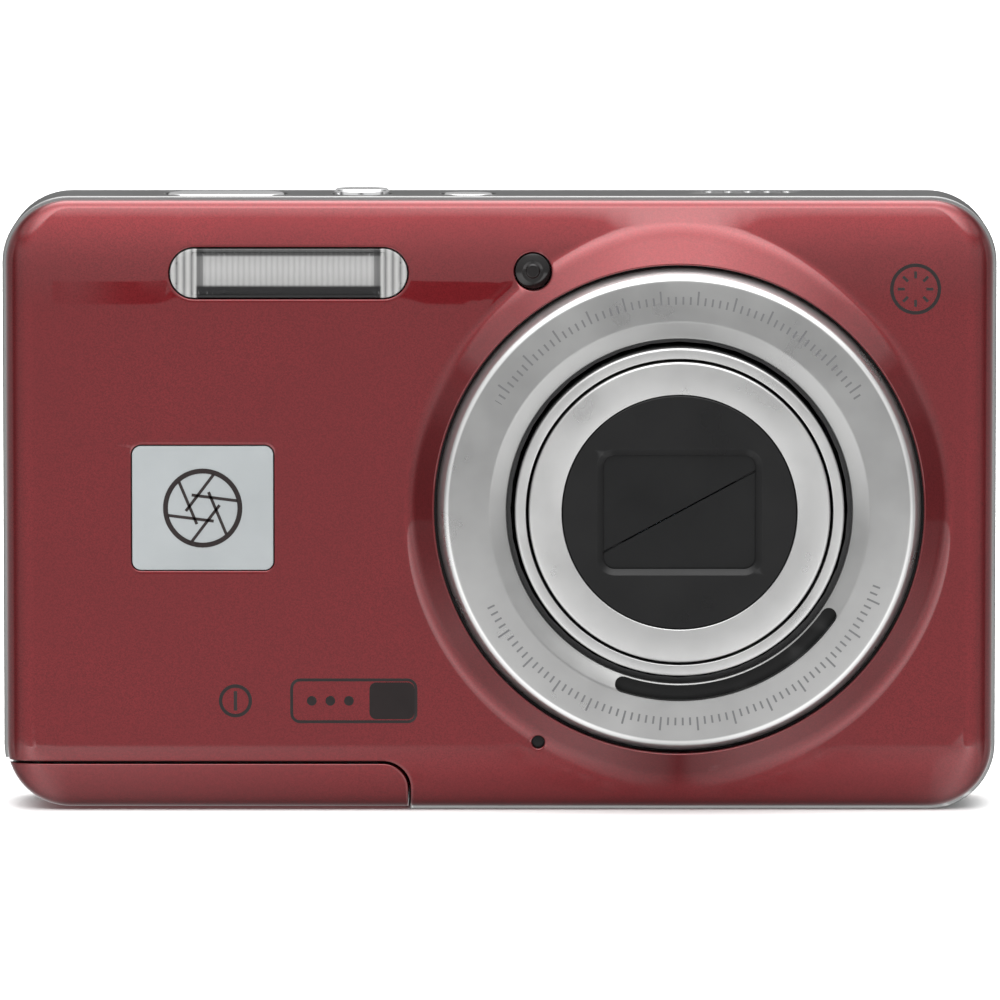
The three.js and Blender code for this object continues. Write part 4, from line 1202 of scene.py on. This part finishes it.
def gap_ring():
    """A dark ring at the bottom of the gap between the collar and the bezel."""
    near, far = FRONT_SPLIT - 2.6, FRONT_SPLIT - 2.2
    ring = lens_lathe([(23.5, near), (26.2, near), (26.2, far), (23.5, far)], radius=0.03)
    piece("gap_ring", ring, "camera_body", None, "black_plastic")


def barrels():
    front, back = box("outer_barrel")[0][1], box("outer_barrel")[1][1]
    outer = lens_lathe([(15.62, front, 0.12), (16.75, front, 0.28), (16.75, back), (15.62, back)])
    piece("outer_barrel_tube", outer, "barrel_outer", "outer_barrel", "lens_metal")
    front, back = box("inner_barrel")[0][1], box("inner_barrel")[1][1]
    inner = lens_lathe([
        (11.98, front, 0.1), (15.35, front, 0.3), (15.35, back), (14.35, back), (14.35, front + 0.65),
        (11.98, front + 0.65),
    ])
    piece("inner_barrel_tube", inner, "barrel_inner", "inner_barrel", "lens_metal")


WINDOW = Rounded(LENS_X, LENS_Z, 15.5, 11.6, 1.15, 8)
WINDOW_BEVEL = 0.62


def front_plate():
    """The black front disc, with a wide sloping bevel into its window."""
    low, high = box("front_plate")
    outer = (high[0] - low[0]) / 2
    front, back = low[1], high[1]

    def window(grow):
        """The window's outline with extra points along its straight sides."""
        loop = []
        corners = WINDOW.loop(grow)
        for i, (x, z) in enumerate(corners):
            loop.append((x, z))
            if (i + 1) % (WINDOW.steps + 1) == 0:
                nx, nz = corners[(i + 1) % len(corners)]
                loop += [(x + (nx - x) * k / 20, z + (nz - z) * k / 20) for k in range(1, 20)]
        return loop

    def disc(radius):
        """Points on a circle, each towards the matching point of the window's outline."""
        angles = [math.atan2(z - LENS_Z, x - LENS_X) for x, z in window(0)]
        return [polar(LENS_X, LENS_Z, radius, a) for a in angles]

    def between(radius, share):
        edge, rim = window(WINDOW_BEVEL + 0.1), disc(radius)
        return [(e[0] + (r[0] - e[0]) * share, e[1] + (r[1] - e[1]) * share) for e, r in zip(edge, rim)]

    path = [(window(0), back), (window(0.02), back - 0.05)]
    path += [(window(WINDOW_BEVEL), front + 0.015), (window(WINDOW_BEVEL + 0.06), front)]
    path += [(window(WINDOW_BEVEL + 0.1), front)]
    path += [(between(outer - 0.16, share), front) for share in (0.33, 0.66)]
    path += [(disc(outer - 0.16), front), (disc(outer - 0.1), front), (disc(outer - 0.03), front + 0.03)]
    path += [(disc(outer), front + 0.1), (disc(outer), back)]
    disc_shape = tube(path, "+y")
    piece("front_plate_disc", disc_shape, "barrel_inner", "front_plate", "front_plate_black", degrees=22)


SEAM_ANGLE = math.radians(28.2)
BLADE_PIVOT = math.radians(203)
BLADE_TURN = math.radians(24.5)


def blade(name, node, body, half_turn):
    """A thin leaf where two circles of the barrel's bore meet, on one side of the slanting seam."""
    low, high = box(node)
    reach, gap = 14.15, 0.06
    pivot = np.array([math.cos(BLADE_PIVOT), math.sin(BLADE_PIVOT)]) * 12.9
    c, d = math.cos(BLADE_TURN), math.sin(BLADE_TURN)
    turn = np.array([[c, d], [-d, c]])
    centre = pivot - turn @ pivot

    def inside(u, v):
        x = u * math.cos(SEAM_ANGLE) - v * math.sin(SEAM_ANGLE)
        z = u * math.sin(SEAM_ANGLE) + v * math.cos(SEAM_ANGLE)
        return min(reach - math.hypot(x, z), reach - math.hypot(x - centre[0], z - centre[1]))

    def edge_at(u):
        low_v, high_v = gap, 2 * reach
        for _ in range(40):
            middle_v = (low_v + high_v) / 2
            low_v, high_v = (middle_v, high_v) if inside(u, middle_v) > 0 else (low_v, middle_v)
        return low_v

    us = [u for u in np.linspace(-reach, reach, 400) if inside(u, gap) > 0]
    first, last = us[0], us[-1]
    outline = [(float(u), gap) for u in np.linspace(first, last, 60)]
    ends = first + (last - first) * (1 - np.cos(np.linspace(0, math.pi, 90))) / 2
    outline += [(float(u), edge_at(u)) for u in ends[::-1][1:-1]]
    sign = -1 if half_turn else 1

    def shrunk(amount):
        loop = []
        count = len(outline)
        for i in range(count):
            p, a, b = (np.array(outline[k % count]) for k in (i, i - 1, i + 1))
            d = (b - a) / max(np.linalg.norm(b - a), 1e-9)
            q = p + amount * np.array([-d[1], d[0]])
            x = q[0] * math.cos(SEAM_ANGLE) - q[1] * math.sin(SEAM_ANGLE)
            z = q[0] * math.sin(SEAM_ANGLE) + q[1] * math.cos(SEAM_ANGLE)
            loop.append((LENS_X + sign * x, LENS_Z + sign * z))
        return loop

    front, back = -low[1], -high[1]
    levels = ((0.05, back), (0.0, back + 0.04), (0.0, front - 0.05), (0.05, front))
    loops = [(shrunk(amount), level) for amount, level in levels]
    leaf = piece(name, stack(loops, "-y"), body, node, "blade_black", degrees=25)
    px, pz = LENS_X + sign * pivot[0], LENS_Z + sign * pivot[1]
    cut_with(leaf, [piece("bore", turned(px, pz, [(0.5, front + 1), (0.5, back - 1)], "-y", 24))])


bezel()
gap_ring()
barrels()
front_plate()
blade("blade_upper_leaf", "blade_upper", "upper_blade", False)
blade("blade_lower_leaf", "blade_lower", "lower_blade", True)

# ---------------------------------------------------------------- front trim
def flash_window():
    """A clear window with fine upright ribs in the middle and coarser ones at its ends."""
    low, high = box("flash_window")
    x0, x1 = low[0], high[0]
    inner_left, inner_right = x0 + FLASH_END, x1 - FLASH_END
    inner = FLASH.grown(-0.34)
    loops = [(FLASH.loop(-offset), True) for offset in bevel_offsets(0.14)] + [(inner.loop(0), True)]
    points = []
    reach = inner.height / 2 - 0.03
    for x in np.arange(x0 + 0.3, x1 - 0.2, 0.095):
        for z in FLASH.z + np.linspace(-reach, reach, 9):
            if inner.distance(np.array([x]), np.array([z]))[0] < -0.02:
                points.append((float(x), float(z)))
    xz, tris = triangulate(loops, points, lambda x, z: FLASH.distance(x, z) < 0)
    x, z = xz[:, 0], xz[:, 1]
    fine = 0.07 * np.abs(np.sin(math.pi * (x - FLASH.x) / FINE_PITCH))
    coarse = 0.16 * np.abs(np.sin(math.pi * (x - FLASH.x) / COARSE_PITCH))
    ribs = np.where((x > inner_left) & (x < inner_right), fine, coarse)
    sunk = inner.distance(x, z) < -0.01
    front = FACE_Y - 0.05 + lean(z)
    y = front + bevel(np.maximum(-FLASH.distance(x, z), 0), 0.14) + np.where(sunk, 0.2 - ribs, 0.0)
    front_points = np.stack([x, y, z], 1)
    back_points = np.stack([x, np.full_like(x, high[1]), z], 1)
    window = shell(tris, front_points, back_points, {})
    piece("flash_lens", window, "camera_body", "flash_window", "flash_lens", 60)


def focus_lamp():
    low, high = box("focus_lamp_window")
    face, radius = low[1], 1.8
    profile = [
        (0, face + 0.05), (0.62, face + 0.02), (0.75, face + 0.18), (1.1, face + 0.12), (radius, face + 0.28),
        (radius, high[1]), (0, high[1]),
    ]
    lens = lathe(profile, LAMP_X, LAMP_Z, 64, 0.06)
    piece("focus_lamp_lens", lens, "camera_body", "focus_lamp_window", "lamp_plastic")


def badge():
    """A plain light plate with a generic leaf-shutter sign pressed into it."""
    low, high = box("front_badge")
    face = -low[1]
    levels = [(0, -high[1]), (0, face - 0.07), (-0.03, face - 0.02), (-0.1, face)]
    piece("badge", solid(BADGE, levels, "-y"), "camera_body", "front_badge", "badge_plate")
    cx, cz = BADGE.x, BADGE.z
    parts = [ring_prism(cx, cz, 4.05, 3.55, face + 0.03, face - 0.05)]
    for k in range(6):
        a = math.radians(60 * k + 12)
        p, q = polar(cx, cz, 3.6, a), polar(cx, cz, 1.75, a + math.radians(118))
        parts.append(bar_prism(p, q, 0.3, face + 0.03, face - 0.05))
    piece("badge_sign", joined(*parts), "camera_body", None, "print")


def ring_prism(cx, cz, outer, inner, front, back, steps=64):
    rings = ((inner, back), (inner, front), (outer, front), (outer, back))
    return tube([(circle(cx, cz, radius, steps), level) for radius, level in rings], "-y")


def bar_prism(p, q, width, front, back):
    d = np.array(q) - np.array(p)
    d = d / np.linalg.norm(d)
    side = np.array([-d[1], d[0]]) * width / 2
    loop = [tuple(np.array(c) + s * side) for c, s in ((p, -1), (q, -1), (q, 1), (p, 1))]
    return stack([(loop, back), (loop, front)], "-y")


def prints():
    """Generic signs in dark print on the red face: two rings with strokes and a charge-level box."""
    front, back = -FACE_Y + 0.02, -FACE_Y - 0.04
    x, z = 42.4, 53.7
    parts = [ring_prism(x, z, 2.6, 2.25, front, back)]
    for k in range(8):
        a = math.radians(45 * k)
        parts.append(bar_prism(polar(x, z, 1.1, a), polar(x, z, 1.8, a), 0.28, front, back))
    row = 11.5  # height of the lower signs
    parts.append(ring_prism(-27.0, row, 1.7, 1.35, front, back, 40))
    parts.append(bar_prism((-27.0, row - 1.0), (-27.0, row + 1.0), 0.35, front, back))
    border = Rounded(-14.9, row, 13.0, 4.6, 1.0, 6)
    rings = ((-0.3, back), (-0.3, front), (0, front), (0, back))
    parts.append(tube([(border.loop(grow), level) for grow, level in rings], "-y"))
    parts.append(solid(Rounded(-11.0, row, 4.6, 3.8, 0.7, 6), [(0, back), (0, front)], "-y"))
    for k in range(3):
        parts.append(turned(-19.2 + 1.9 * k, row, [(0.5, back), (0.5, front)], "-y", 24))
    points, faces = joined(*parts)
    points = [(px, py + float(lean(pz)), pz) for px, py, pz in points]
    piece("front_prints", (points, faces), "camera_body", None, "print")


def microphone_mesh():
    """Black mesh at the bottom of the microphone's hole."""
    near, far = FACE_Y + 0.7, FACE_Y + 1.0
    disc = lathe([(0, near), (0.63, near), (0.63, far), (0, far)], MIC_X, MIC_Z, 32, 0.02)
    piece("microphone_mesh", disc, "camera_body", None, "front_plate_black")


flash_window()
focus_lamp()
microphone_mesh()
badge()
prints()

# ---------------------------------------------------------------- keys and rear side
KEY_BODY = {key: key.replace("_button", "_key") for key in TOP_KEYS + REAR_KEYS}


def top_key(key):
    low, high = box(key)
    top = high[2]
    dish = 0.12 if key == "power_button" else 0.0
    levels = [(0.8, low[2] + 0.9), (0.8, low[2] + 1.55), (0, low[2] + 1.6), (0, top - 0.4)]
    levels += rolled_edge(0.4, top - 0.4, 0.36, 0.2, 7) + [(-0.9, top), (-1.4, top - dish)]
    cap = solid(top_key_outline(key, 0), levels, "+z")
    piece(key + "_cap", cap, KEY_BODY[key], key, "chrome", degrees=40)


def rear_key(key):
    low, high = box(key)
    x, _, z = middle(key)
    top, radius = high[1], REAR_KEY_RADIUS
    profile = [
        (0, low[1]), (0.9, low[1]), (0.9, 8.9), (radius + 0.6, 8.9), (radius + 0.6, 9.3), (radius, 9.3),
        (radius, top - 0.1, 0.2), (radius * 0.75, top, 0.3), (0, top - 0.08),
    ]
    piece(key + "_cap", lathe(profile, x, z, 72, 0.08), KEY_BODY[key], key, "black_plastic")


def pad():
    low, high, (x, _, z), size = extent("dpad_ring")
    top, outer = high[1], size[0] / 2
    profile = [
        (4.9, low[1]), (outer, low[1]), (outer, top - 0.25, 0.2), (outer - 0.6, top, 0.35),
        (outer - 2.6, top - 0.3, 1.2), (6.1, top - 0.42, 0.6), (4.9, top - 0.5, 0.15),
    ]
    piece("pad_ring", lathe(profile, x, z, 120, 0.1), "pad", "dpad_ring", "black_plastic")
    low, high = box("set_button")
    top = high[1]
    profile = [
        (0, low[1]), (1.0, low[1]), (1.0, 8.5), (5.2, 8.5), (5.2, 8.95), (4.55, 8.95),
        (4.55, top - 0.15, 0.25), (3.9, top, 0.4), (0, top - 0.22),
    ]
    piece("set_button_cap", lathe(profile, x, z, 96, 0.08), "set_key", "set_button", "black_plastic")
    parts = []
    for k in range(4):
        a = math.pi / 2 * k
        cx, cz = polar(x, z, 7.2, a)
        loop = [polar(cx, cz, 0.75, a + 2 * math.pi * i / 3) for i in range(3)]
        parts.append(stack([(loop, 10.5), (loop, 10.86)], "+y"))
    piece("pad_arrows", joined(*parts), "pad", None, "white_print")


def rocker():
    _, high, (x, _, z), size = extent("zoom_rocker")
    top = high[1] - 0.1
    levels = [(0, 9.2), (0, top - 0.35)] + rolled_edge(0.3, top - 0.35, 0.3, 0.3, 5)
    levels += [(-0.8, top - 0.12), (-1.6, top - 0.2)]
    parts = [solid(Rounded(x, z, size[0], size[2], 2.4, 8), levels, "+y")]
    for side in (-1, 1):
        for k in range(3):
            rib = Rounded(x + side * (4.9 + 1.0 * k), z, 0.5, 2.6, 0.24, 4)
            parts.append(solid(rib, [(0, top - 0.4), (0, top), (-0.12, top + 0.1)], "+y"))
    piece("zoom_rocker_cap", joined(*parts), "rocker", "zoom_rocker", "black_plastic")


def screen():
    low, high, (cx, _, cz), size = extent("screen_glass")
    top, edge = high[1], 0.25
    levels = [(0, low[1]), (0, top - edge)] + rolled_edge(edge, top - edge, edge, 0.3, 5)
    glass = solid(Rounded(cx, cz, size[0], size[2], 1.5, 8), levels, "+y")
    piece("screen_window", glass, "camera_body", "screen_glass", "screen_glass", degrees=40)
    panel = solid(Rounded(cx, cz, 57.0, 43.0, 0.4, 4), [(0, top - 0.03), (0, top + 0.004)], "+y")
    piece("screen_panel", panel, "camera_body", None, "screen_glass", degrees=40)


def usb_cover():
    _, high, (_, cy, cz), size = extent("usb_cover")
    top, edge = high[0], 0.25
    levels = [(0, top - 1.5)] + rolled_edge(edge, top - edge, edge, 0, 6)
    flap = solid(Rounded(cy, cz, size[1], size[2], 2.0, 8), levels, "+x")
    notch = solid(Rounded(cy, cz + 5.0, 2.6, 0.5, 0.24, 4), [(0, top - 0.3), (-0.05, top)], "+x")
    piece("usb_flap_skin", joined(flap, notch), "usb_flap", "usb_cover", "rubber")


def strap_eyelet():
    _, _, (_, cy, cz), size = extent("strap_eyelet")
    levels = [(0, 48.1), (0, 50.35), (-0.08, 50.5), (-0.38, 50.5)]
    levels += [(-0.47, 50.38), (-0.5, 48.75), (-1.0, 48.6)]
    cup = solid(Rounded(cy, cz, size[1], size[2], 1.6, 8), levels, "-x")
    radius = 0.7
    ends = ((0.9, -3.85), (1.0, -3.7), (1.0, 3.7), (0.9, 3.85))
    bar = turned(-50.1, cy, [(radius * share, cz + height) for share, height in ends], "+z", 28)
    piece("strap_eyelet_cup", joined(cup, bar), "camera_body", "strap_eyelet", "steel")


def tripod_bush():
    """A flanged bush whose blind bore has thread turns."""
    low, high, (cx, cy, _), size = extent("tripod_bush")
    base, top, outer = low[2], high[2], size[0] / 2
    rings = [(outer - 0.12, base), (outer, base + 0.12), (outer, 1.5), (4.0, 1.5), (4.0, top), (2.4, top)]
    end = len(rings) - 1  # the bore is closed between this ring and the next
    bore, pitch, depth, steps = 2.9, 1.27, 0.3, 72
    level = top - 1.0
    rings.append((bore, level))
    while level > base + 0.9:
        for radius, share in ((bore, 0.15), (bore + depth, 0.5), (bore, 0.85)):
            rings.append((radius, level - pitch * share))
        level -= pitch
    rings += [(bore, base + 0.35), (3.25, base)]
    points, faces = tube([(circle(cx, cy, radius, steps), height) for radius, height in rings], "+z")
    faces = [face for face in faces if face[0] // steps != end]
    faces.append(tuple(range(end * steps, (end + 1) * steps)))
    faces.append(tuple(range((end + 1) * steps, (end + 2) * steps))[::-1])
    piece("tripod_bush_ring", (points, faces), "camera_body", "tripod_bush", "steel")


def screw_head(name):
    """A domed head with a cross recess."""
    low, high, centre, _ = extent(name)
    radius, shank = 1.3, 0.6
    if "base" in name:
        place = Matrix.Translation((centre[0], centre[1], low[2])) @ Matrix.Rotation(math.pi, 4, "X")
    else:
        side = 1 if centre[0] > 0 else -1
        face = Matrix.Translation((high[0] if side > 0 else low[0], centre[1], centre[2]))
        place = face @ Matrix.Rotation(side * math.pi / 2, 4, "Y")
    levels = [(shank, -3.4), (shank, -0.55), (radius, -0.55), (radius, -0.18), (radius - 0.12, -0.05)]
    head = piece(name + "_head", turned(0, 0, levels + [(radius - 0.4, 0.0)], "+z", 40))
    cross = []
    for width, height in ((0.36, 1.6), (1.6, 0.36)):
        loop = rounded(0, 0, width, height, 0.08, 2)
        cross.append(piece("cross", stack([(loop, -0.42), (loop, 0.5)], "+z")))
    cut_with(head, cross)
    head.data.transform(Matrix.Scale(MM, 4) @ place @ Matrix.Scale(1 / MM, 4))
    head.data.materials.clear()
    head.data.materials.append(M["steel"])
    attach(head, "camera_body")
    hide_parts(name)


for key in TOP_KEYS:
    top_key(key)
for key in REAR_KEYS:
    rear_key(key)
pad()
rocker()
screen()
usb_cover()
strap_eyelet()
tripod_bush()
for screw in SCREWS:
    screw_head(screw)

# ---------------------------------------------------------------- stage, light and camera
def stage():
    """A wide pale floor. Mirrorlike surfaces see the soft studio surround in its place."""
    n = Nodes("stage")
    n.set(Base_Color=n.mix(n.noise(3.0), (0.90, 0.90, 0.90), (0.92, 0.92, 0.92)), Roughness=0.9)
    n.shader.inputs["Specular IOR Level"].default_value = 0.0
    size, steps = 9.0, 12
    side = steps + 1
    spots = [size * (i / steps - 0.5) for i in range(side)]
    grid = [(x, y, 0.0) for x in spots for y in spots]
    corners = [i * side + j for i in range(steps) for j in range(steps)]
    faces = [(c, c + side, c + side + 1, c + 1) for c in corners]
    mesh = bpy.data.meshes.new("stage_floor")
    mesh.from_pydata(grid, [], faces)
    mesh.materials.append(n.material)
    floor = bpy.data.objects.new("stage_floor", mesh)
    bpy.context.scene.collection.objects.link(floor)
    floor.visible_glossy = False


# Brightness of the studio surround by the sine of the elevation, ahead of the camera's subject and behind it.
SURROUND_FRONT = [
    (-1.0, 0.6), (-0.88, 0.8), (-0.53, 1.05), (-0.2, 1.45), (-0.142, 1.6), (-0.132, 0.66),
    (-0.05, 0.66), (0.1, 0.85), (0.22, 0.95), (0.34, 1.1), (0.46, 1.2), (0.53, 5.2),
    (0.7, 6.0), (0.93, 3.2), (1.0, 3.2),
]
SURROUND_BACK = [
    (-1.0, 0.3), (-0.1, 0.6), (0.0, 0.45), (0.25, 0.5), (0.6, 1.0), (0.8, 1.6), (0.87, 5.5), (1.0, 6.0),
]
SURROUND_PEAK = 6.0
FLOOR_EDGE = -0.137  # the studio floor lies below this sine of the elevation
CENTRE_SHADE = 0.6  # the floor straight ahead is this much darker
CENTRE_X = 0.015
CENTRE_HALF = 0.05
SIDE_LIGHT = 0.95  # how much brighter the floor is towards both sides
SIDE_FROM = (0.03, 0.25)
SIDE_TO = (0.35, 0.7)
FLAG_SHADE = 0.75  # dark flags stand at both sides
FLAG_FROM = (0.82, 0.96)
FLAG_BACK = (-0.12, -0.02)
BAR_X = (-0.037, 0.002)  # a dark bar ahead of the left half, seen just above the level of the floor's edge
BAR_Z = (-0.035, 0.075)
OVERHEAD_SHADE = 0.75  # how much darker the upper surround is towards both sides
OVERHEAD_HALF = (0.15, 0.65)


def surround():
    """Soft light from all around, set by direction, that camera rays see as plain white."""
    world = bpy.data.worlds.new("studio")
    world.use_nodes = True
    tree = world.node_tree
    tree.nodes.clear()
    add, link = tree.nodes.new, tree.links.new
    parts = add("ShaderNodeSeparateXYZ")
    link(add("ShaderNodeTexCoord").outputs["Generated"], parts.inputs[0])

    def span(value, low, high, out_low, out_high):
        node = add("ShaderNodeMapRange")
        limits = {"From Min": low, "From Max": high, "To Min": out_low, "To Max": out_high}
        for name, number in limits.items():
            node.inputs[name].default_value = number
        link(value, node.inputs[0])
        return node.outputs[0]

    def calc(operation, a, b=None):
        node = add("ShaderNodeMath")
        node.operation = operation
        for socket, value in zip(node.inputs, (a, b)):
            if isinstance(value, bpy.types.NodeSocket):
                link(value, socket)
            elif value is not None:
                socket.default_value = value
        return node.outputs[0]

    height = span(parts.outputs["Z"], -1.0, 1.0, 0.0, 1.0)
    behind = span(parts.outputs["Y"], -0.25, 0.25, 0.0, 1.0)
    ramps = []
    for stops in (SURROUND_FRONT, SURROUND_BACK):
        ramp = add("ShaderNodeValToRGB")
        while len(ramp.color_ramp.elements) < len(stops):
            ramp.color_ramp.elements.new(0.5)
        for element, (z, value) in zip(ramp.color_ramp.elements, stops):
            element.position = (z + 1) / 2
            element.color = (value / SURROUND_PEAK,) * 3 + (1.0,)
        link(height, ramp.inputs[0])
        ramps.append(ramp.outputs[0])
    mix = add("ShaderNodeMix")
    mix.data_type = "RGBA"
    link(behind, mix.inputs[0])
    link(ramps[0], mix.inputs[6])
    link(ramps[1], mix.inputs[7])
    across = calc("ABSOLUTE", parts.outputs["X"])
    low = calc("LESS_THAN", parts.outputs["Z"], FLOOR_EDGE)
    aside = calc("ABSOLUTE", calc("SUBTRACT", parts.outputs["X"], CENTRE_X))
    centre = calc("MULTIPLY", low, span(aside, 0.0, CENTRE_HALF, CENTRE_SHADE, 0.0))
    rise = span(across, *SIDE_FROM, 0.0, SIDE_LIGHT)
    raised = calc("SUBTRACT", rise, span(across, *SIDE_TO, 0.0, SIDE_LIGHT))
    sides = calc("MULTIPLY", low, raised)
    high = span(parts.outputs["Z"], 0.3, 0.5, 0.0, 1.0)
    overhead = calc("MULTIPLY", high, span(across, *OVERHEAD_HALF, 0.0, OVERHEAD_SHADE))
    strength = calc("SUBTRACT", calc("ADD", 1.0, sides), calc("ADD", centre, overhead))
    flag = span(across, *FLAG_FROM, 0.0, FLAG_SHADE)
    flag = calc("MULTIPLY", flag, span(parts.outputs["Y"], *FLAG_BACK, 1.0, 0.0))
    strength = calc("MULTIPLY", strength, calc("SUBTRACT", 1.0, flag))
    bar = calc("LESS_THAN", parts.outputs["Y"], 0.0)
    for output, limits in (("X", BAR_X), ("Z", BAR_Z)):
        bar = calc("MULTIPLY", bar, calc("GREATER_THAN", parts.outputs[output], limits[0]))
        bar = calc("MULTIPLY", bar, calc("LESS_THAN", parts.outputs[output], limits[1]))
    strength = calc("MULTIPLY", strength, calc("SUBTRACT", 1.0, bar))
    soft = add("ShaderNodeBackground")
    link(mix.outputs[2], soft.inputs[0])
    link(calc("MULTIPLY", strength, SURROUND_PEAK), soft.inputs[1])
    plain = add("ShaderNodeBackground")
    plain.inputs[0].default_value = (1.0, 1.0, 1.0, 1.0)
    both = add("ShaderNodeMixShader")
    link(add("ShaderNodeLightPath").outputs["Is Camera Ray"], both.inputs[0])
    link(soft.outputs[0], both.inputs[1])
    link(plain.outputs[0], both.inputs[2])
    link(both.outputs[0], add("ShaderNodeOutputWorld").inputs[0])
    bpy.context.scene.world = world


def camera():
    elevation = math.radians(5.3)
    distance = 1.1
    width = 0.1021  # seen across the picture at the target
    target = Vector((0.00005, -0.006, 0.0321))
    data = bpy.data.cameras.new("camera")
    data.sensor_width = 36.0
    data.lens = data.sensor_width * distance / width
    data.clip_end = 50.0
    view = bpy.data.objects.new("camera", data)
    view.location = target + distance * Vector((0.0, -math.cos(elevation), math.sin(elevation)))
    view.rotation_euler = (target - view.location).to_track_quat("-Z", "Y").to_euler()
    bpy.context.scene.collection.objects.link(view)
    bpy.context.scene.camera = view


stage()
surround()
camera()
view_settings = bpy.context.scene.view_settings
view_settings.view_transform = "Standard"
